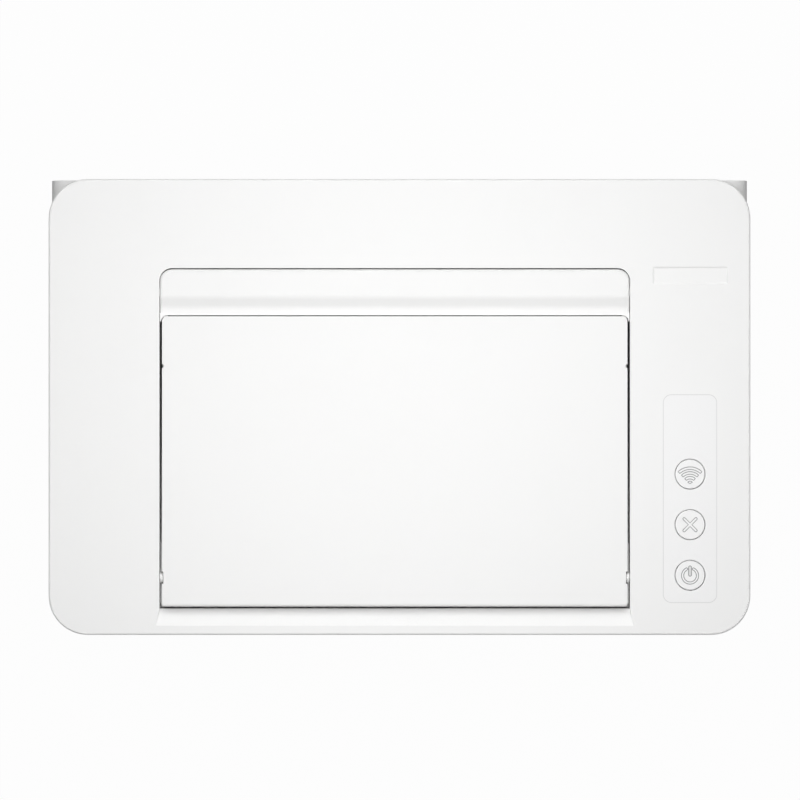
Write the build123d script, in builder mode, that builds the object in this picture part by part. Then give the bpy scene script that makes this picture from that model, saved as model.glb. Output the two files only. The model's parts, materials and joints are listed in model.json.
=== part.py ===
from build123d import *
import os
from math import acos, atan2, cos, hypot, pi, radians, sin, sqrt, tan

os.makedirs("parts", exist_ok=True)

# A desktop laser printer: moulded covers round two side frames, a top cover that lifts over the toner,
# a paper flap over the output bin, and a front door over the paper tray.
# Millimetres. X points right, Y to the rear, Z up. The origin is the middle of the footprint.

# Outside
width = 331.0                # over the top frame
depth = 215.0
height = 178.0
corner_radius = 18.5         # plan corners of the top frame
slab_height = 18.0           # the top frame, from the covers to the top
side_inset = 0.5             # the body stands in from the top frame at the sides
front_inset = 0.5
rear_inset = 0.2
foot_height = 4.0
foot_radius = 9.0
foot_edge = 1.0
foot_inset = 30.0
base_thickness = 3.0
wall = 2.5                   # moulded covers
seam = 0.3                   # between covers that stand still, and beside hinged ones
shadow_line = 0.6            # groove under the top frame
shadow_depth = 0.8
shoulder_radius = 6.0        # long top edges of the body
shoulder_width = 19.0        # flange of a side cover, and how far it wraps onto the front
rear_wrap = 10.0             # how far a side cover wraps onto the rear
top_edge = 1.0               # rounding of the top outline
pin_clearance = 0.05         # radial, of every pin and shaft in its bore
face_gap = 0.3               # between pieces that pass each other
lid_seam = 0.5               # between a hinged door and the cover beside it
overcut = 1.0                # how far a cut runs past the face that it opens

# Screws of the rear cover
screw_radius = 2.0
screw_head = 3.6
screw_head_height = 1.8
screw_recess = 1.7           # counterbore of the rear cover
screw_inset = 25.0           # from the side of the body
screw_rise = 8.0             # above the base, and below the top of the body
screw_boss = 4.0
screw_length = 10.0
screw_slot = 1.0             # width of the cross in a screw's head
screw_cross = 4.4            # and its length

# Paper path and side frames
left_bay = 44.5              # from the left cover to the left frame, for the boards
right_bay = 49.0             # from the right frame to the right cover, for the drive
frame_thickness = 3.0
frame_front_gap = 12.6       # from the front of the top frame to the side frames
frame_rear_gap = 9.5
frame_flange = 28.0
frame_flange_thickness = 1.5
paper_inset = 37.5           # plane of the paper on its way up, from the rear
paper_margin = 7.75          # from the paper to a side frame
narrowest_paper = 76.0       # that the guides hold

# Top opening, bin door and paper flap
well_margin = 1.75           # from the opening to the plane of a side frame
well_rear_gap = 42.0         # from the opening to the rear of the top frame
well_wall = 2.0
well_corner = 6.0            # rounding of the opening's rear corners
ring_gap = 1.5               # from the shoulder to the ring under the top frame
ring_wall = 2.0
door_side_gap = 0.25
door_rear_gap = 0.5
door_hinge_gap = 11.5        # hinge axis ahead of the opening's rear edge
door_hinge_drop = 3.5        # hinge axis below the top
door_pin_radius = 2.0
hood_skin = 2.2
hood_length = 22.2           # from the opening's rear edge to the front of the hood
hood_plateau_length = 13.7   # to the front edge of its flat part
trough_length = 18.7         # to the rear edge of its trough
trough_drop = 1.8
hood_edge = 1.2
hood_brow = 6.0              # roundings above and below the slope of the hood
hood_corner_gap = 0.4        # by which the hood's corners are rounded less
hood_arm_depth = 3.0         # of the arms that reach round the rear corners of the flap
side_depth = 10.0            # how far the side of the hood hangs down
bin_wall = 2.25
bin_inset = 1.2              # sides of the bin inside the sides of the hood
bin_setback = 1.3            # rear of the bin ahead of the front of the hood
bin_rear_drop = 30.0         # floor of the bin below the top at the rear
bin_front_drop = 11.0
bin_floor = 2.5
bin_lip = 8.0                # how far the bin's rear edge hangs below its floor
bin_rise = 2.0               # and rises above it
flap_side_gap = 1.25
flap_rear_gap = 0.5
flap_drop = 0.3
flap_thickness = 2.5
flap_pivot_inset = 14.3      # from the front lip of the bin door
flap_pivot_drop = 4.0
flap_pin_radius = 0.9
flap_web = 0.75              # webs beside the flap, under its ears
flap_ear = 1.4
flap_ear_radius = 2.4
flap_front_gap = 0.7         # from the front lip of the bin door
flap_rear_corner = 2.4
flap_front_corner = 1.4
flap_front_edge = 1.2
flap_lug = 2.0
flap_lug_radius = 2.2
notch_setback = 23.5         # notches in the sides of the flap, from its rear edge
notch_radius = 0.9
notch_pocket = 8.0           # depth of the pockets under the notches
notch_margin = 0.3
nose_length = 30.8           # hollow that the nose of the flap swings into, from the front lip
nose_gap = 0.5
nose_floor = 2.4
lip_inset = 12.7             # front lip of the bin door, from the front of the top frame
lip_thickness = 2.0
lip_draft = 0.8
lip_drop = 12.0              # top of the lip below the top of the slab
web_drop = 2.5               # top of the side webs below the flap's pivot
scoop_gap = 0.4
scoop_length = 8.1
scoop_depth = 5.5
scoop_flare = 1.75

# Control panel
panel_inset = 28.5           # middle of the panel, from the side
panel_front_inset = 64.3     # and from the front
panel_width = 25.2
panel_length = 98.0
panel_corner = 3.8
panel_thickness = 0.6
panel_post = 1.8
button_setback = 12.3        # middle button ahead of the middle of the panel
button_pitch = 23.85
button_radius = 6.95
button_hole = 7.3
button_edge = 0.4
button_travel = 0.6
button_proud = 0.3
button_flange = 1.25         # wider than the hole
button_flange_thickness = 1.4
button_stem = 2.0
board_drop = 12.4            # board of the panel below the top
board_inset = 3.0
switch_height = 4.2          # lower end of a button's stem above the board
switch_gap = 0.1
switch_half = 3.0
switch_pin = 1.5
plate_inset = 28.35          # shallow place for a name plate, left bare
plate_rear_inset = 45.5
plate_width = 35.5
plate_length = 8.3
plate_corner = 0.6
plate_depth = 0.5

# Front door, its sliding support, and the rear door
tray_door_top = 80.0
door_lift = 2.5              # underside of a hinged barrel above the base
barrel_radius = 3.2
barrel_pin_radius = 1.5
barrel_pin_length = 3.0
pull_half = 30.0             # finger pull of the tray door
pull_height = 9.0
extension_margin = 14.75     # from the support to the plane of a side frame
extension_thickness = 2.0
extension_height = 60.0
extension_grip = 4.0
extension_grip_height = 2.0
rail_lip = 3.0
rail_thickness = 1.2
rail_low = 2.0               # rails start this far above the support's lower edge
rail_high = 3.0              # and end this far below the top of the door
tab_inset = 39.0             # tabs of the front cover, from the side of the body
tab_half = 2.0
tab_low = 10.0
tab_high = 65.0
rear_door_reach = 0.5        # past the plane of a side frame
rear_door_bottom = 22.5
rear_door_top = 139.5
rear_pull_half = 25.0
rear_pull_low = 12.0
rear_pull_high = 4.0

# Paper tray
floor_height = 8.0           # underside of the tray floor above the base
floor_thickness = 1.5
floor_margin = 1.0           # from the tray floor to a side frame
floor_reach = 2.0            # of the tray floor ahead of the side frames
rib = 2.0
rack_clear = 0.3
rack_height = 3.0
rack_bar = 3.0
rack_past = 12.0             # a rack runs past the pinion by this much
stud_radius = 2.0
stud_head = 0.7
guide_gap = 0.5              # beside the paper
guide_thickness = 3.0
guide_front_gap = 6.9        # from the front of the side frames
guide_lift_gap = 19.0        # from the pins of the lift plate
pinion_setback = 0.5         # of the pinion from the middle of the guides
guide_height = 25.2
guide_stem = 3.0
lift_setback = 9.45          # lift pins behind the middle between frame front and pickup roller
lift_reach = 8.0             # of the lift plate past the axis of the pickup roller
lift_margin = 0.5
lift_front = 2.0             # lift plate ahead of its pins
lift_pin_radius = 0.6
lift_pin_length = 3.8
lift_ear = 3.0
lift_ear_gap = 1.5
lift_ear_radius = 4.0
spring_setback = 8.0         # springs ahead of the axis of the pickup roller
spring_inset = 44.5          # springs from the side of the lift plate
spring_radius = 4.0
spring_wire = 0.5
spring_sides = 8             # flat sides of the wire
spring_turns = 3.5
spring_seat = 2.0

# Rollers: radius of each and of its shaft, and the place of each axis
pickup_radius = 14.0
pickup_width = 40.0
pickup_core = 9.0
pickup_flat = 3.0            # depth of the flat side of the pickup tyre
feed_radius = 9.7
feed_pinch_radius = 7.0
drum_radius = 12.0
transfer_radius = 7.0
heat_radius = 10.0
pressure_radius = 10.0
exit_radius = 5.0
exit_pinch_radius = 4.0
shaft_radius = 3.0
exit_shaft_radius = 1.5
journal_radius = 6.0         # ends of the heated roller
lamp_radius = 3.0
nip_gap = 0.25               # between two rollers that grip the paper
heat_nip_gap = 0.4
roller_margin = 2.5          # from a roller's end to a side frame
drum_end_gap = 2.0           # drum shorter than the rollers beside it, at each end
shaft_end = 1.5              # driven shafts past their gears
drum_drop = 68.0             # drum axis below the top of the body
feed_lag = 2.0               # feed axis behind the drum axis
feed_drop = 26.0             # and below it
pickup_lead = 32.0           # pickup axis ahead of the feed axis
pickup_drop = 18.0           # and below it
heat_setback = 0.4           # heated roller ahead of the plane of the paper
heat_drop = 34.0             # below the top of the body
exit_lead = 2.0              # exit axis ahead of the hinge of the bin door
exit_drop = 13.0             # below the top of the body
exit_pinch_lead = 0.5
sleeve_width = 18.0
sleeve_count = 4
sleeve_margin = 2.0
pad_half = 6.0               # separation pad under the pickup roller
pad_thickness = 2.0
pad_foot = 5.0
pad_angle = radians(-40)

# Gears
module = 1.0
pressure_angle = radians(25)
main_direction = radians(170)
motor_direction = radians(160)
addendum = 0.8
dedendum = 1.05
backlash = 0.2
gear_width = 6.0
gear_gap = 2.5               # from the right frame to the gears
motor_teeth = 12
main_teeth = 44
drum_teeth = 26
fuser_idler_teeth = 16
fuser_teeth = 25
exit_idler_teeth = 12
exit_teeth = 14
feed_idler_teeth = 12
feed_teeth = 20
pickup_idler_teeth = 16
pickup_teeth = 26
guide_teeth = 16
gear_stud_radius = 2.0
gear_stud_shoulder = 1.5
drive_plate_thickness = 2.0
drive_plate_margin = 2.0
drive_plate_rear = 16.0      # behind the plane of the paper
drive_plate_low = 9.0        # below the pickup idler
drive_plate_high = 6.0       # above the exit idler
drive_post_inset = 4.0
drive_post_radius = 3.0
motor_radius = 18.0
motor_length = 22.0
motor_shaft = 1.5
motor_shaft_depth = 8.0

# Deck, toner cartridge, fuser and scanner
deck_drop = 30.0             # deck below the drum axis
deck_thickness = 2.5
deck_setback = 2.0           # from the front of the side frames, and from the pickup tyre
rail_width = 5.0
rail_start = 4.0
cartridge_drop = 24.0        # lower edge of its end plates below the drum axis
cartridge_gap = 0.4          # beside a side frame
cartridge_back = 16.0        # step of the hopper, ahead of the drum axis
cartridge_rise = 24.0
hopper_rise = 2.0            # underside of the hopper above that of its end plates
mouth_low = 10.0             # mouth of the hopper below the drum axis, and above it
mouth_high = 4.0
hopper_shoulder = 28.0       # ahead of the drum axis
hopper_shoulder_rise = 10.0
end_plate = 2.0
end_plate_rise = 19.0        # over the drum
end_plate_rear = 10.0
end_plate_heel = 8.0
end_plate_slope = 32.0
cleaner_gap = 2.0            # over the drum
cleaner_height = 6.0
cleaner_rear = 8.0
grip_half = 40.0             # hand hold of the cartridge
grip_start = 4.0
grip_length = 18.0
grip_rise = 8.0
grip_bar_radius = 3.0
fuser_margin = 14.0
fuser_half_height = 13.5
fuser_plate = 2.5
fuser_sheet = 1.5
fuser_cover = 4.0            # top and bottom sheets reach past the heated roller's axis
scanner_front_gap = 6.0      # from the front of the side frames
scanner_depth = 46.9
scanner_rear_gap = 8.0       # to the cartridge
scanner_margin = 15.25       # beside the scanner, to a side frame
scanner_drop = 2.0           # underside below the drum axis
scanner_rise = 34.0          # upper edge above the drum axis
scanner_wall = 2.0
leg_inset = 6.0
leg_radius = 4.0
mirror_inset = 14.0
mirror_drop = 9.0            # underside of the mirror below the case's upper edge
mirror_radius = 10.0
mirror_thickness = 4.0
mirror_shaft = 1.5
mirror_shaft_length = 9.0
mirror_post_radius = 9.0
window_inset = 8.0
lens_inset = 12.0
lens_half = 50.0
lens_bulge = 6.0
lens_thickness = 3.0

# Boards and what is on them
board_thickness = 1.6
board_standoff = 8.0
standoff_inset = 5.0
standoff_end = 10.0
standoff_radius = 2.5
board_rear_gap = 2.5         # main board to the rear cover
main_board_length = 97.3
main_board_low = 49.0        # above the base
main_board_top_gap = 10.0    # below the top of the body
power_board_front = 22.9     # from the front of the side frames
power_board_rear = 18.0
power_board_low = 4.0
power_board_high = 42.0
transformer_length = 30.0
transformer_height = 26.0
choke_size = 18.0
fan_size = 60.0
fan_depth = 15.0
fan_inset = 57.0             # fan axis from the front of the body
fan_z = 110.0
fan_bore = 28.0
fan_blade_gap = 1.0
fan_hub = 12.0
fan_hub_wall = 2.0
fan_pin = 1.5
fan_pin_start = 3.0
fan_gap = 0.6
fan_spoke = 4.0
fan_blades = 7
fan_blade_thickness = 1.2
fan_blade_chord = 9.0
vent_rear_inset = 62.3       # vents of the right cover, from the rear of the body
vent_margin = 8.0            # shorter than the fan
vent_pitch = 6.0
vent_slot = 2.5
vent_rows = 8
inlet_inset = 28.0           # mains inlet from the inside of the left cover
inlet_z = 35.0
inlet_width = 27.0
inlet_height = 20.0
inlet_rim = 1.6
inlet_depth = 22.0
inlet_cavity = 16.0
blade_spread = 7.0
blade_rise = 2.0
blade_half = 1.0
blade_start = 3.0
usb_z = 66.0
usb_width = 12.0
usb_height = 11.0
usb_rim = 1.2
usb_depth = 18.0
usb_cavity = 12.0
usb_start = 0.5
tongue_half = 2.0
tongue_rise = 1.6
tongue_start = 4.0

# Worked out from the sizes above
half_width = width / 2
front_y = -depth / 2
rear_y = depth / 2
base_top = foot_height + base_thickness
body_top = height - slab_height
body_half = half_width - side_inset
body_front = front_y + front_inset
body_rear = rear_y - rear_inset
body_corner = corner_radius - side_inset
front_seam_x = body_half - shoulder_width
rear_seam_x = body_half - rear_wrap
path_x = (left_bay - right_bay) / 2      # middle of the paper
frame_half = body_half - wall - (left_bay + right_bay) / 2 - frame_thickness
paper_width = 2 * (frame_half - paper_margin)
frame_left = path_x - frame_half
frame_right = path_x + frame_half
frame_front = front_y + frame_front_gap
frame_rear = rear_y - frame_rear_gap
well_left = frame_left + well_margin
well_right = frame_right - well_margin
well_rear = rear_y - well_rear_gap
door_left = well_left + door_side_gap
door_right = well_right - door_side_gap
door_hinge_y = well_rear - door_hinge_gap
door_hinge_z = height - door_hinge_drop
hood_front = well_rear - hood_length
hood_plateau = well_rear - hood_plateau_length
trough_rear = well_rear - trough_length
bin_rear = hood_front - bin_setback
lip_front = front_y + lip_inset
nose_rear = lip_front + nose_length
scoop_y = lip_front - scoop_gap          # front face of the well
flap_left = well_left + flap_side_gap
flap_right = well_right - flap_side_gap
flap_front = lip_front + flap_front_gap
flap_rear = hood_front - flap_rear_gap
flap_top = height - flap_drop
flap_bottom = flap_top - flap_thickness
flap_pivot_y = lip_front + flap_pivot_inset
flap_pivot_z = height - flap_pivot_drop
panel_x = half_width - panel_inset
panel_y = front_y + panel_front_inset
button_y = panel_y - button_setback
plate_x = half_width - plate_inset
plate_y = rear_y - plate_rear_inset
floor_bottom = base_top + floor_height
floor_top = floor_bottom + floor_thickness
paper_y = rear_y - paper_inset
screw_x = body_half - screw_inset
screw_boss_y = (body_rear - wall - screw_length, body_rear - wall)
screw_heights = (base_top + screw_rise, body_top - screw_rise)
screw_seat = body_rear - screw_recess
screw_spots = [(side * screw_x, z) for side in (-1, 1) for z in screw_heights]
inlet_x = -body_half + wall + inlet_inset
fan_y = body_front + fan_inset
rear_vent_y = body_rear - vent_rear_inset
rear_door_left = frame_left - rear_door_reach
rear_door_right = frame_right + rear_door_reach

# Roller axes, as (y, z), from the plane of the paper and the top of the body
drum = (paper_y - drum_radius, body_top - drum_drop)
transfer = (paper_y + transfer_radius + nip_gap, drum[1])
feed = (drum[0] + feed_lag, drum[1] - feed_drop)
feed_pinch = (feed[0] + feed_radius + feed_pinch_radius + nip_gap * 2, feed[1])
pickup = (feed[0] - pickup_lead, feed[1] - pickup_drop)
heat = (paper_y - heat_radius - heat_setback, body_top - heat_drop)
pressure = (heat[0] + heat_radius + pressure_radius + heat_nip_gap, heat[1])
exit_axis = (door_hinge_y - exit_lead, body_top - exit_drop)
exit_pinch = (exit_axis[0] - exit_pinch_lead, exit_axis[1] + exit_radius + exit_pinch_radius + nip_gap)

# Paper tray, between the front of the side frames and the pickup roller
lift_y = (frame_front + pickup[0]) / 2 + lift_setback
lift_rear = pickup[0] + lift_reach
lift_half = paper_width / 2 - lift_margin
spring_y = pickup[0] - spring_setback
spring_x = lift_half - spring_inset
guide_front = frame_front + guide_front_gap
guide_rear = lift_y - guide_lift_gap
pinion_y = (guide_front + guide_rear) / 2 + pinion_setback
guide_travel = (paper_width - narrowest_paper) / 2


def block(x, y, z, mode=Mode.ADD):
    """A box between its low and high limits along each axis."""
    with Locations(((x[0] + x[1]) / 2, (y[0] + y[1]) / 2, (z[0] + z[1]) / 2)):
        Box(x[1] - x[0], y[1] - y[0], z[1] - z[0], mode=mode)


def bar(x, centre, radius, mode=Mode.ADD):
    """A round bar along X, from x[0] to x[1], about the axis at centre (y, z)."""
    with Locations(((x[0] + x[1]) / 2, centre[0], centre[1])):
        Cylinder(radius, x[1] - x[0], rotation=(0, 90, 0), mode=mode)


def post(x, y, z, radius, mode=Mode.ADD):
    """A round bar that stands upright, from z[0] to z[1]."""
    with Locations((x, y, (z[0] + z[1]) / 2)):
        Cylinder(radius, z[1] - z[0], mode=mode)


def bar_y(x, y, z, radius, mode=Mode.ADD):
    """A round bar along Y, from y[0] to y[1]."""
    with Locations((x, (y[0] + y[1]) / 2, z)):
        Cylinder(radius, y[1] - y[0], rotation=(90, 0, 0), mode=mode)


def prism(points, x, mode=Mode.ADD):
    """A side profile of (y, z) points, carried along X from x[0] to x[1]."""
    with BuildSketch(Plane.YZ.offset(x[0])) as profile:
        Polygon(*points, align=None)
    extrude(profile.sketch, amount=x[1] - x[0], mode=mode)


def body_plan(inset, z):
    """Plan of the body at height z, round at the front and square at the rear, drawn in by inset."""
    with BuildSketch(Plane.XY.offset(z)) as plan:
        with Locations((0, (body_front + body_rear) / 2)):
            Rectangle(2 * (body_half - inset), body_rear - body_front - 2 * inset)
        fillet(plan.vertices().group_by(Axis.Y)[0], body_corner - inset)
    return plan.sketch


def slab_plan(inset, z):
    """Plan of the top frame at height z, drawn in by inset."""
    with BuildSketch(Plane.XY.offset(z)) as plan:
        RectangleRounded(width - 2 * inset, depth - 2 * inset, corner_radius - inset)
    return plan.sketch


def gear_plan(teeth, phase, plane, centre):
    """Toothed outline on plane, with one tooth at the angle phase about centre."""
    pitch = module * teeth / 2
    base = pitch * cos(pressure_angle)
    at_pitch = pi / 2 / teeth - backlash / 4 / pitch

    def half_angle(radius):
        roll = acos(min(1.0, base / radius))
        return at_pitch + tan(pressure_angle) - pressure_angle - tan(roll) + roll

    flank = [pitch - dedendum * module, pitch, pitch + addendum * module]
    points = []
    for tooth in range(teeth):
        middle = phase + 2 * pi * tooth / teeth
        rising = [(r, middle - half_angle(r)) for r in flank]
        falling = [(r, middle + half_angle(r)) for r in reversed(flank)]
        points += [(centre[0] + r * cos(a), centre[1] + r * sin(a)) for r, a in rising + falling]
    with BuildSketch(plane) as plan:
        Polygon(*points, align=None)
    return plan.sketch


def mesh_phase(centre, teeth, phase, other, other_teeth):
    """Phase of the other gear that puts its gap against this gear's tooth."""
    towards = atan2(other[1] - centre[1], other[0] - centre[0])
    turned = teeth * (towards - phase) / (2 * pi)
    return towards + pi - 2 * pi / other_teeth * (0.5 - turned)


def centre_distance(teeth, other_teeth):
    """Distance between the axes of two gears in mesh."""
    return module * (teeth + other_teeth) / 2


def meet(first, first_distance, second, second_distance, side):
    """Point at two given distances from two points, on one side of the line that joins them."""
    span = hypot(second[0] - first[0], second[1] - first[1])
    along = (first_distance ** 2 - second_distance ** 2 + span ** 2) / (2 * span)
    across = side * sqrt(first_distance ** 2 - along ** 2)
    unit = ((second[0] - first[0]) / span, (second[1] - first[1]) / span)
    return (first[0] + along * unit[0] + across * unit[1], first[1] + along * unit[1] - across * unit[0])


def share(span, part):
    """The place at a share of a span."""
    return span[0] + part * (span[1] - span[0])


def save(piece, name):
    """Names a finished piece and writes its file."""
    piece.part.label = name
    export_step(piece.part, f"parts/{name}.step")


# Gear axes. The main gear drives the drum; idlers carry the drive up to the fuser and the exit
# rollers, and down to the feed and pickup rollers.
main_axis = (
    drum[0] + centre_distance(main_teeth, drum_teeth) * cos(main_direction),
    drum[1] + centre_distance(main_teeth, drum_teeth) * sin(main_direction),
)
motor_axis = (
    main_axis[0] + centre_distance(main_teeth, motor_teeth) * cos(motor_direction),
    main_axis[1] + centre_distance(main_teeth, motor_teeth) * sin(motor_direction),
)
fuser_idler = meet(
    drum, centre_distance(drum_teeth, fuser_idler_teeth),
    heat, centre_distance(fuser_teeth, fuser_idler_teeth), 1,
)
exit_idler = meet(
    heat, centre_distance(fuser_teeth, exit_idler_teeth),
    exit_axis, centre_distance(exit_teeth, exit_idler_teeth), 1,
)
feed_idler = meet(
    drum, centre_distance(drum_teeth, feed_idler_teeth),
    feed, centre_distance(feed_teeth, feed_idler_teeth), -1,
)
pickup_idler = meet(
    feed, centre_distance(feed_teeth, pickup_idler_teeth),
    pickup, centre_distance(pickup_teeth, pickup_idler_teeth), 1,
)
gear_x = frame_right + frame_thickness + gear_gap
gear_end = gear_x + gear_width
drive_plate_x = gear_end + gear_gap
gear_plane = Plane.YZ.offset(gear_x)

# Phase of every gear, each taken from the one that it meshes with
drum_phase = 0.0
main_phase = mesh_phase(drum, drum_teeth, drum_phase, main_axis, main_teeth)
motor_phase = mesh_phase(main_axis, main_teeth, main_phase, motor_axis, motor_teeth)
fuser_idler_phase = mesh_phase(drum, drum_teeth, drum_phase, fuser_idler, fuser_idler_teeth)
fuser_phase = mesh_phase(fuser_idler, fuser_idler_teeth, fuser_idler_phase, heat, fuser_teeth)
exit_idler_phase = mesh_phase(heat, fuser_teeth, fuser_phase, exit_idler, exit_idler_teeth)
exit_phase = mesh_phase(exit_idler, exit_idler_teeth, exit_idler_phase, exit_axis, exit_teeth)
feed_idler_phase = mesh_phase(drum, drum_teeth, drum_phase, feed_idler, feed_idler_teeth)
feed_phase = mesh_phase(feed_idler, feed_idler_teeth, feed_idler_phase, feed, feed_teeth)
pickup_idler_phase = mesh_phase(feed, feed_teeth, feed_phase, pickup_idler, pickup_idler_teeth)
pickup_phase = mesh_phase(pickup_idler, pickup_idler_teeth, pickup_idler_phase, pickup, pickup_teeth)

# Base plate, with the rib work under the paper tray and the ears of the lift plate
stud_top = base_top + rack_clear + rack_height + stud_head
lift_z = floor_bottom + floor_thickness / 2
lift_ear_x = lift_half + lift_ear_gap
spring_seat_radius = spring_radius - spring_wire - face_gap
floor_front = frame_front - floor_reach
floor_rear = lift_y - lift_ear_radius - lid_seam
floor_half = frame_half - floor_margin
rack_reach = module * guide_teeth / 2 + dedendum * module + rack_bar
rib_spots = (floor_front, pinion_y + rack_reach + rack_bar, floor_rear - rib)
hinge_axis = (body_front + barrel_radius, base_top + door_lift + barrel_radius)
with BuildPart() as base_tray:
    extrude(body_plan(0, foot_height), amount=base_thickness)
    post(path_x, pinion_y, (base_top, stud_top), stud_radius)
    for y in rib_spots:
        block((path_x - floor_half, path_x + floor_half), (y, y + rib), (base_top, floor_bottom))
    for side in (-1, 1):
        boss = (side * screw_x - screw_boss, side * screw_x + screw_boss)
        block(boss, screw_boss_y, (base_top, base_top + 2 * screw_rise))
        bar_y(side * screw_x, screw_boss_y, base_top + screw_rise, screw_radius, mode=Mode.SUBTRACT)
    for side in (-1, 1):
        near = path_x + side * lift_ear_x
        far = near + side * lift_ear
        ear = (min(near, far), max(near, far))
        block(ear, (lift_y - lift_ear_radius, lift_y + lift_ear_radius), (base_top, lift_z))
        bar(ear, (lift_y, lift_z), lift_ear_radius)
        bar(ear, (lift_y, lift_z), lift_pin_radius + pin_clearance, mode=Mode.SUBTRACT)
        seat_x = path_x + side * spring_x
        post(seat_x, spring_y, (base_top, base_top + spring_seat), spring_seat_radius)
save(base_tray, "base_tray")

with BuildPart() as rubber_feet:
    with BuildSketch(Plane.XY):
        with GridLocations(width - 2 * foot_inset, depth - 2 * foot_inset, 2, 2):
            Circle(foot_radius)
    extrude(amount=foot_height)
    fillet(rubber_feet.edges().group_by(Axis.Z)[0], foot_edge)
save(rubber_feet, "rubber_feet")

# Covers. The two side covers wrap round onto the front and the rear, and their flanges carry
# the top frame.
vent_length = fan_size - vent_margin
ear_length = barrel_pin_length + 2 * lid_seam
ear_bore = barrel_pin_length + lid_seam
cover_height = body_top - base_top
for side, cover_name in ((-1, "left_cover"), (1, "right_cover")):
    with BuildPart() as side_cover:
        extrude(body_plan(0, base_top), amount=cover_height)
        edges = side_cover.edges().group_by(Axis.Z)[-1]
        fillet(edges.sort_by(Axis.Y)[:-1], shoulder_radius)
        extrude(body_plan(wall, base_top), amount=cover_height - wall, mode=Mode.SUBTRACT)
        for low, high, near in (
            (body_front - overcut, body_rear - wall, front_seam_x),
            (body_rear - wall - overcut, body_rear + overcut, rear_seam_x),
        ):
            far = -body_half - overcut
            limits = (-near, -far) if side < 0 else (far, near)
            block(limits, (low, high), (base_top - overcut, body_top + overcut), mode=Mode.SUBTRACT)
        # Ear for the hinge pin of the tray door
        inner = side * front_seam_x
        outer = side * (front_seam_x + ear_length)
        ear = (min(inner, outer), max(inner, outer))
        ear_y = (body_front + wall / 2, hinge_axis[0] + barrel_radius)
        block(ear, ear_y, (base_top, hinge_axis[1] + barrel_radius))
        bore_end = side * (front_seam_x + ear_bore)
        bore = (min(inner, bore_end), max(inner, bore_end))
        bar(bore, hinge_axis, barrel_pin_radius + pin_clearance, mode=Mode.SUBTRACT)
        # Vents
        vent_at = (fan_y if side < 0 else rear_vent_y, fan_z)
        vent_plane = Plane.YZ.offset(-body_half if side < 0 else body_half - wall)
        with BuildSketch(vent_plane):
            with Locations(vent_at):
                with GridLocations(0, vent_pitch, 1, vent_rows):
                    SlotOverall(vent_length, vent_slot)
        extrude(amount=wall, mode=Mode.SUBTRACT)
    save(side_cover, cover_name)

front_bottom = tray_door_top + lid_seam
front_half = front_seam_x - seam
tab_x = body_half - tab_inset
with BuildPart() as front_cover:
    block((-front_half, front_half), (body_front, scoop_y), (front_bottom, body_top))
    top_front = front_cover.edges().group_by(Axis.Z)[-1].sort_by(Axis.Y)[0]
    fillet(top_front, shoulder_radius)
    hollow = (front_bottom - overcut, body_top - wall)
    block((-front_half, front_half), (body_front + wall, scoop_y + overcut), hollow, mode=Mode.SUBTRACT)
    for side in (-1, 1):
        tab = (side * tab_x - tab_half, side * tab_x + tab_half)
        block(tab, (body_front + wall, frame_front), (front_bottom + tab_low, front_bottom + tab_high))
save(front_cover, "front_cover")

door_axis = (body_rear - barrel_radius, rear_door_bottom + barrel_radius)
with BuildPart() as rear_cover:
    half = rear_seam_x - seam
    block((-half, half), (body_rear - wall, body_rear), (base_top, body_top))
    opening = (rear_door_left - lid_seam, rear_door_right + lid_seam)
    for end, outward in zip(opening, (-1, 1)):
        outer = end + outward * ear_length
        ear = (min(end, outer), max(end, outer))
        ear_z = (rear_door_bottom, rear_door_bottom + 2 * barrel_radius)
        block(ear, (door_axis[0] - barrel_radius, body_rear - wall / 2), ear_z)
    cut = (door_axis[0] - barrel_radius - overcut, body_rear + overcut)
    block(opening, cut, (rear_door_bottom - lid_seam, rear_door_top + lid_seam), mode=Mode.SUBTRACT)
    for end, outward in zip(opening, (-1, 1)):
        bore_end = end + outward * ear_bore
        bore = (min(end, bore_end), max(end, bore_end))
        bar(bore, door_axis, barrel_pin_radius + pin_clearance, mode=Mode.SUBTRACT)
    block(
        (inlet_x - inlet_width / 2, inlet_x + inlet_width / 2), cut,
        (inlet_z - inlet_height / 2, inlet_z + inlet_height / 2), mode=Mode.SUBTRACT,
    )
    usb_right = frame_left - frame_thickness - board_standoff - board_thickness
    usb_x = (usb_right - usb_width - face_gap, usb_right + face_gap)
    usb_span = (usb_z - usb_height / 2 - face_gap, usb_z + usb_height / 2 + face_gap)
    block(usb_x, cut, usb_span, mode=Mode.SUBTRACT)
    for x, z in screw_spots:
        bar_y(x, (body_rear - wall, body_rear), z, screw_radius, mode=Mode.SUBTRACT)
        bar_y(x, (screw_seat, body_rear), z, screw_head + face_gap, mode=Mode.SUBTRACT)
save(rear_cover, "rear_cover")

# Rear door, with a round lower edge about its hinge pins
with BuildPart() as rear_door:
    panel = (rear_door_left, rear_door_right)
    block(panel, (body_rear - wall, body_rear), (door_axis[1], rear_door_top))
    bar(panel, door_axis, barrel_radius)
    pin_reach = lid_seam + barrel_pin_length
    bar((rear_door_left - pin_reach, rear_door_right + pin_reach), door_axis, barrel_pin_radius)
    pull = (path_x - rear_pull_half, path_x + rear_pull_half)
    pull_z = (rear_door_top - rear_pull_low, rear_door_top - rear_pull_high)
    block(pull, (body_rear - wall / 2, body_rear), pull_z, mode=Mode.SUBTRACT)
save(rear_door, "rear_door")

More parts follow.
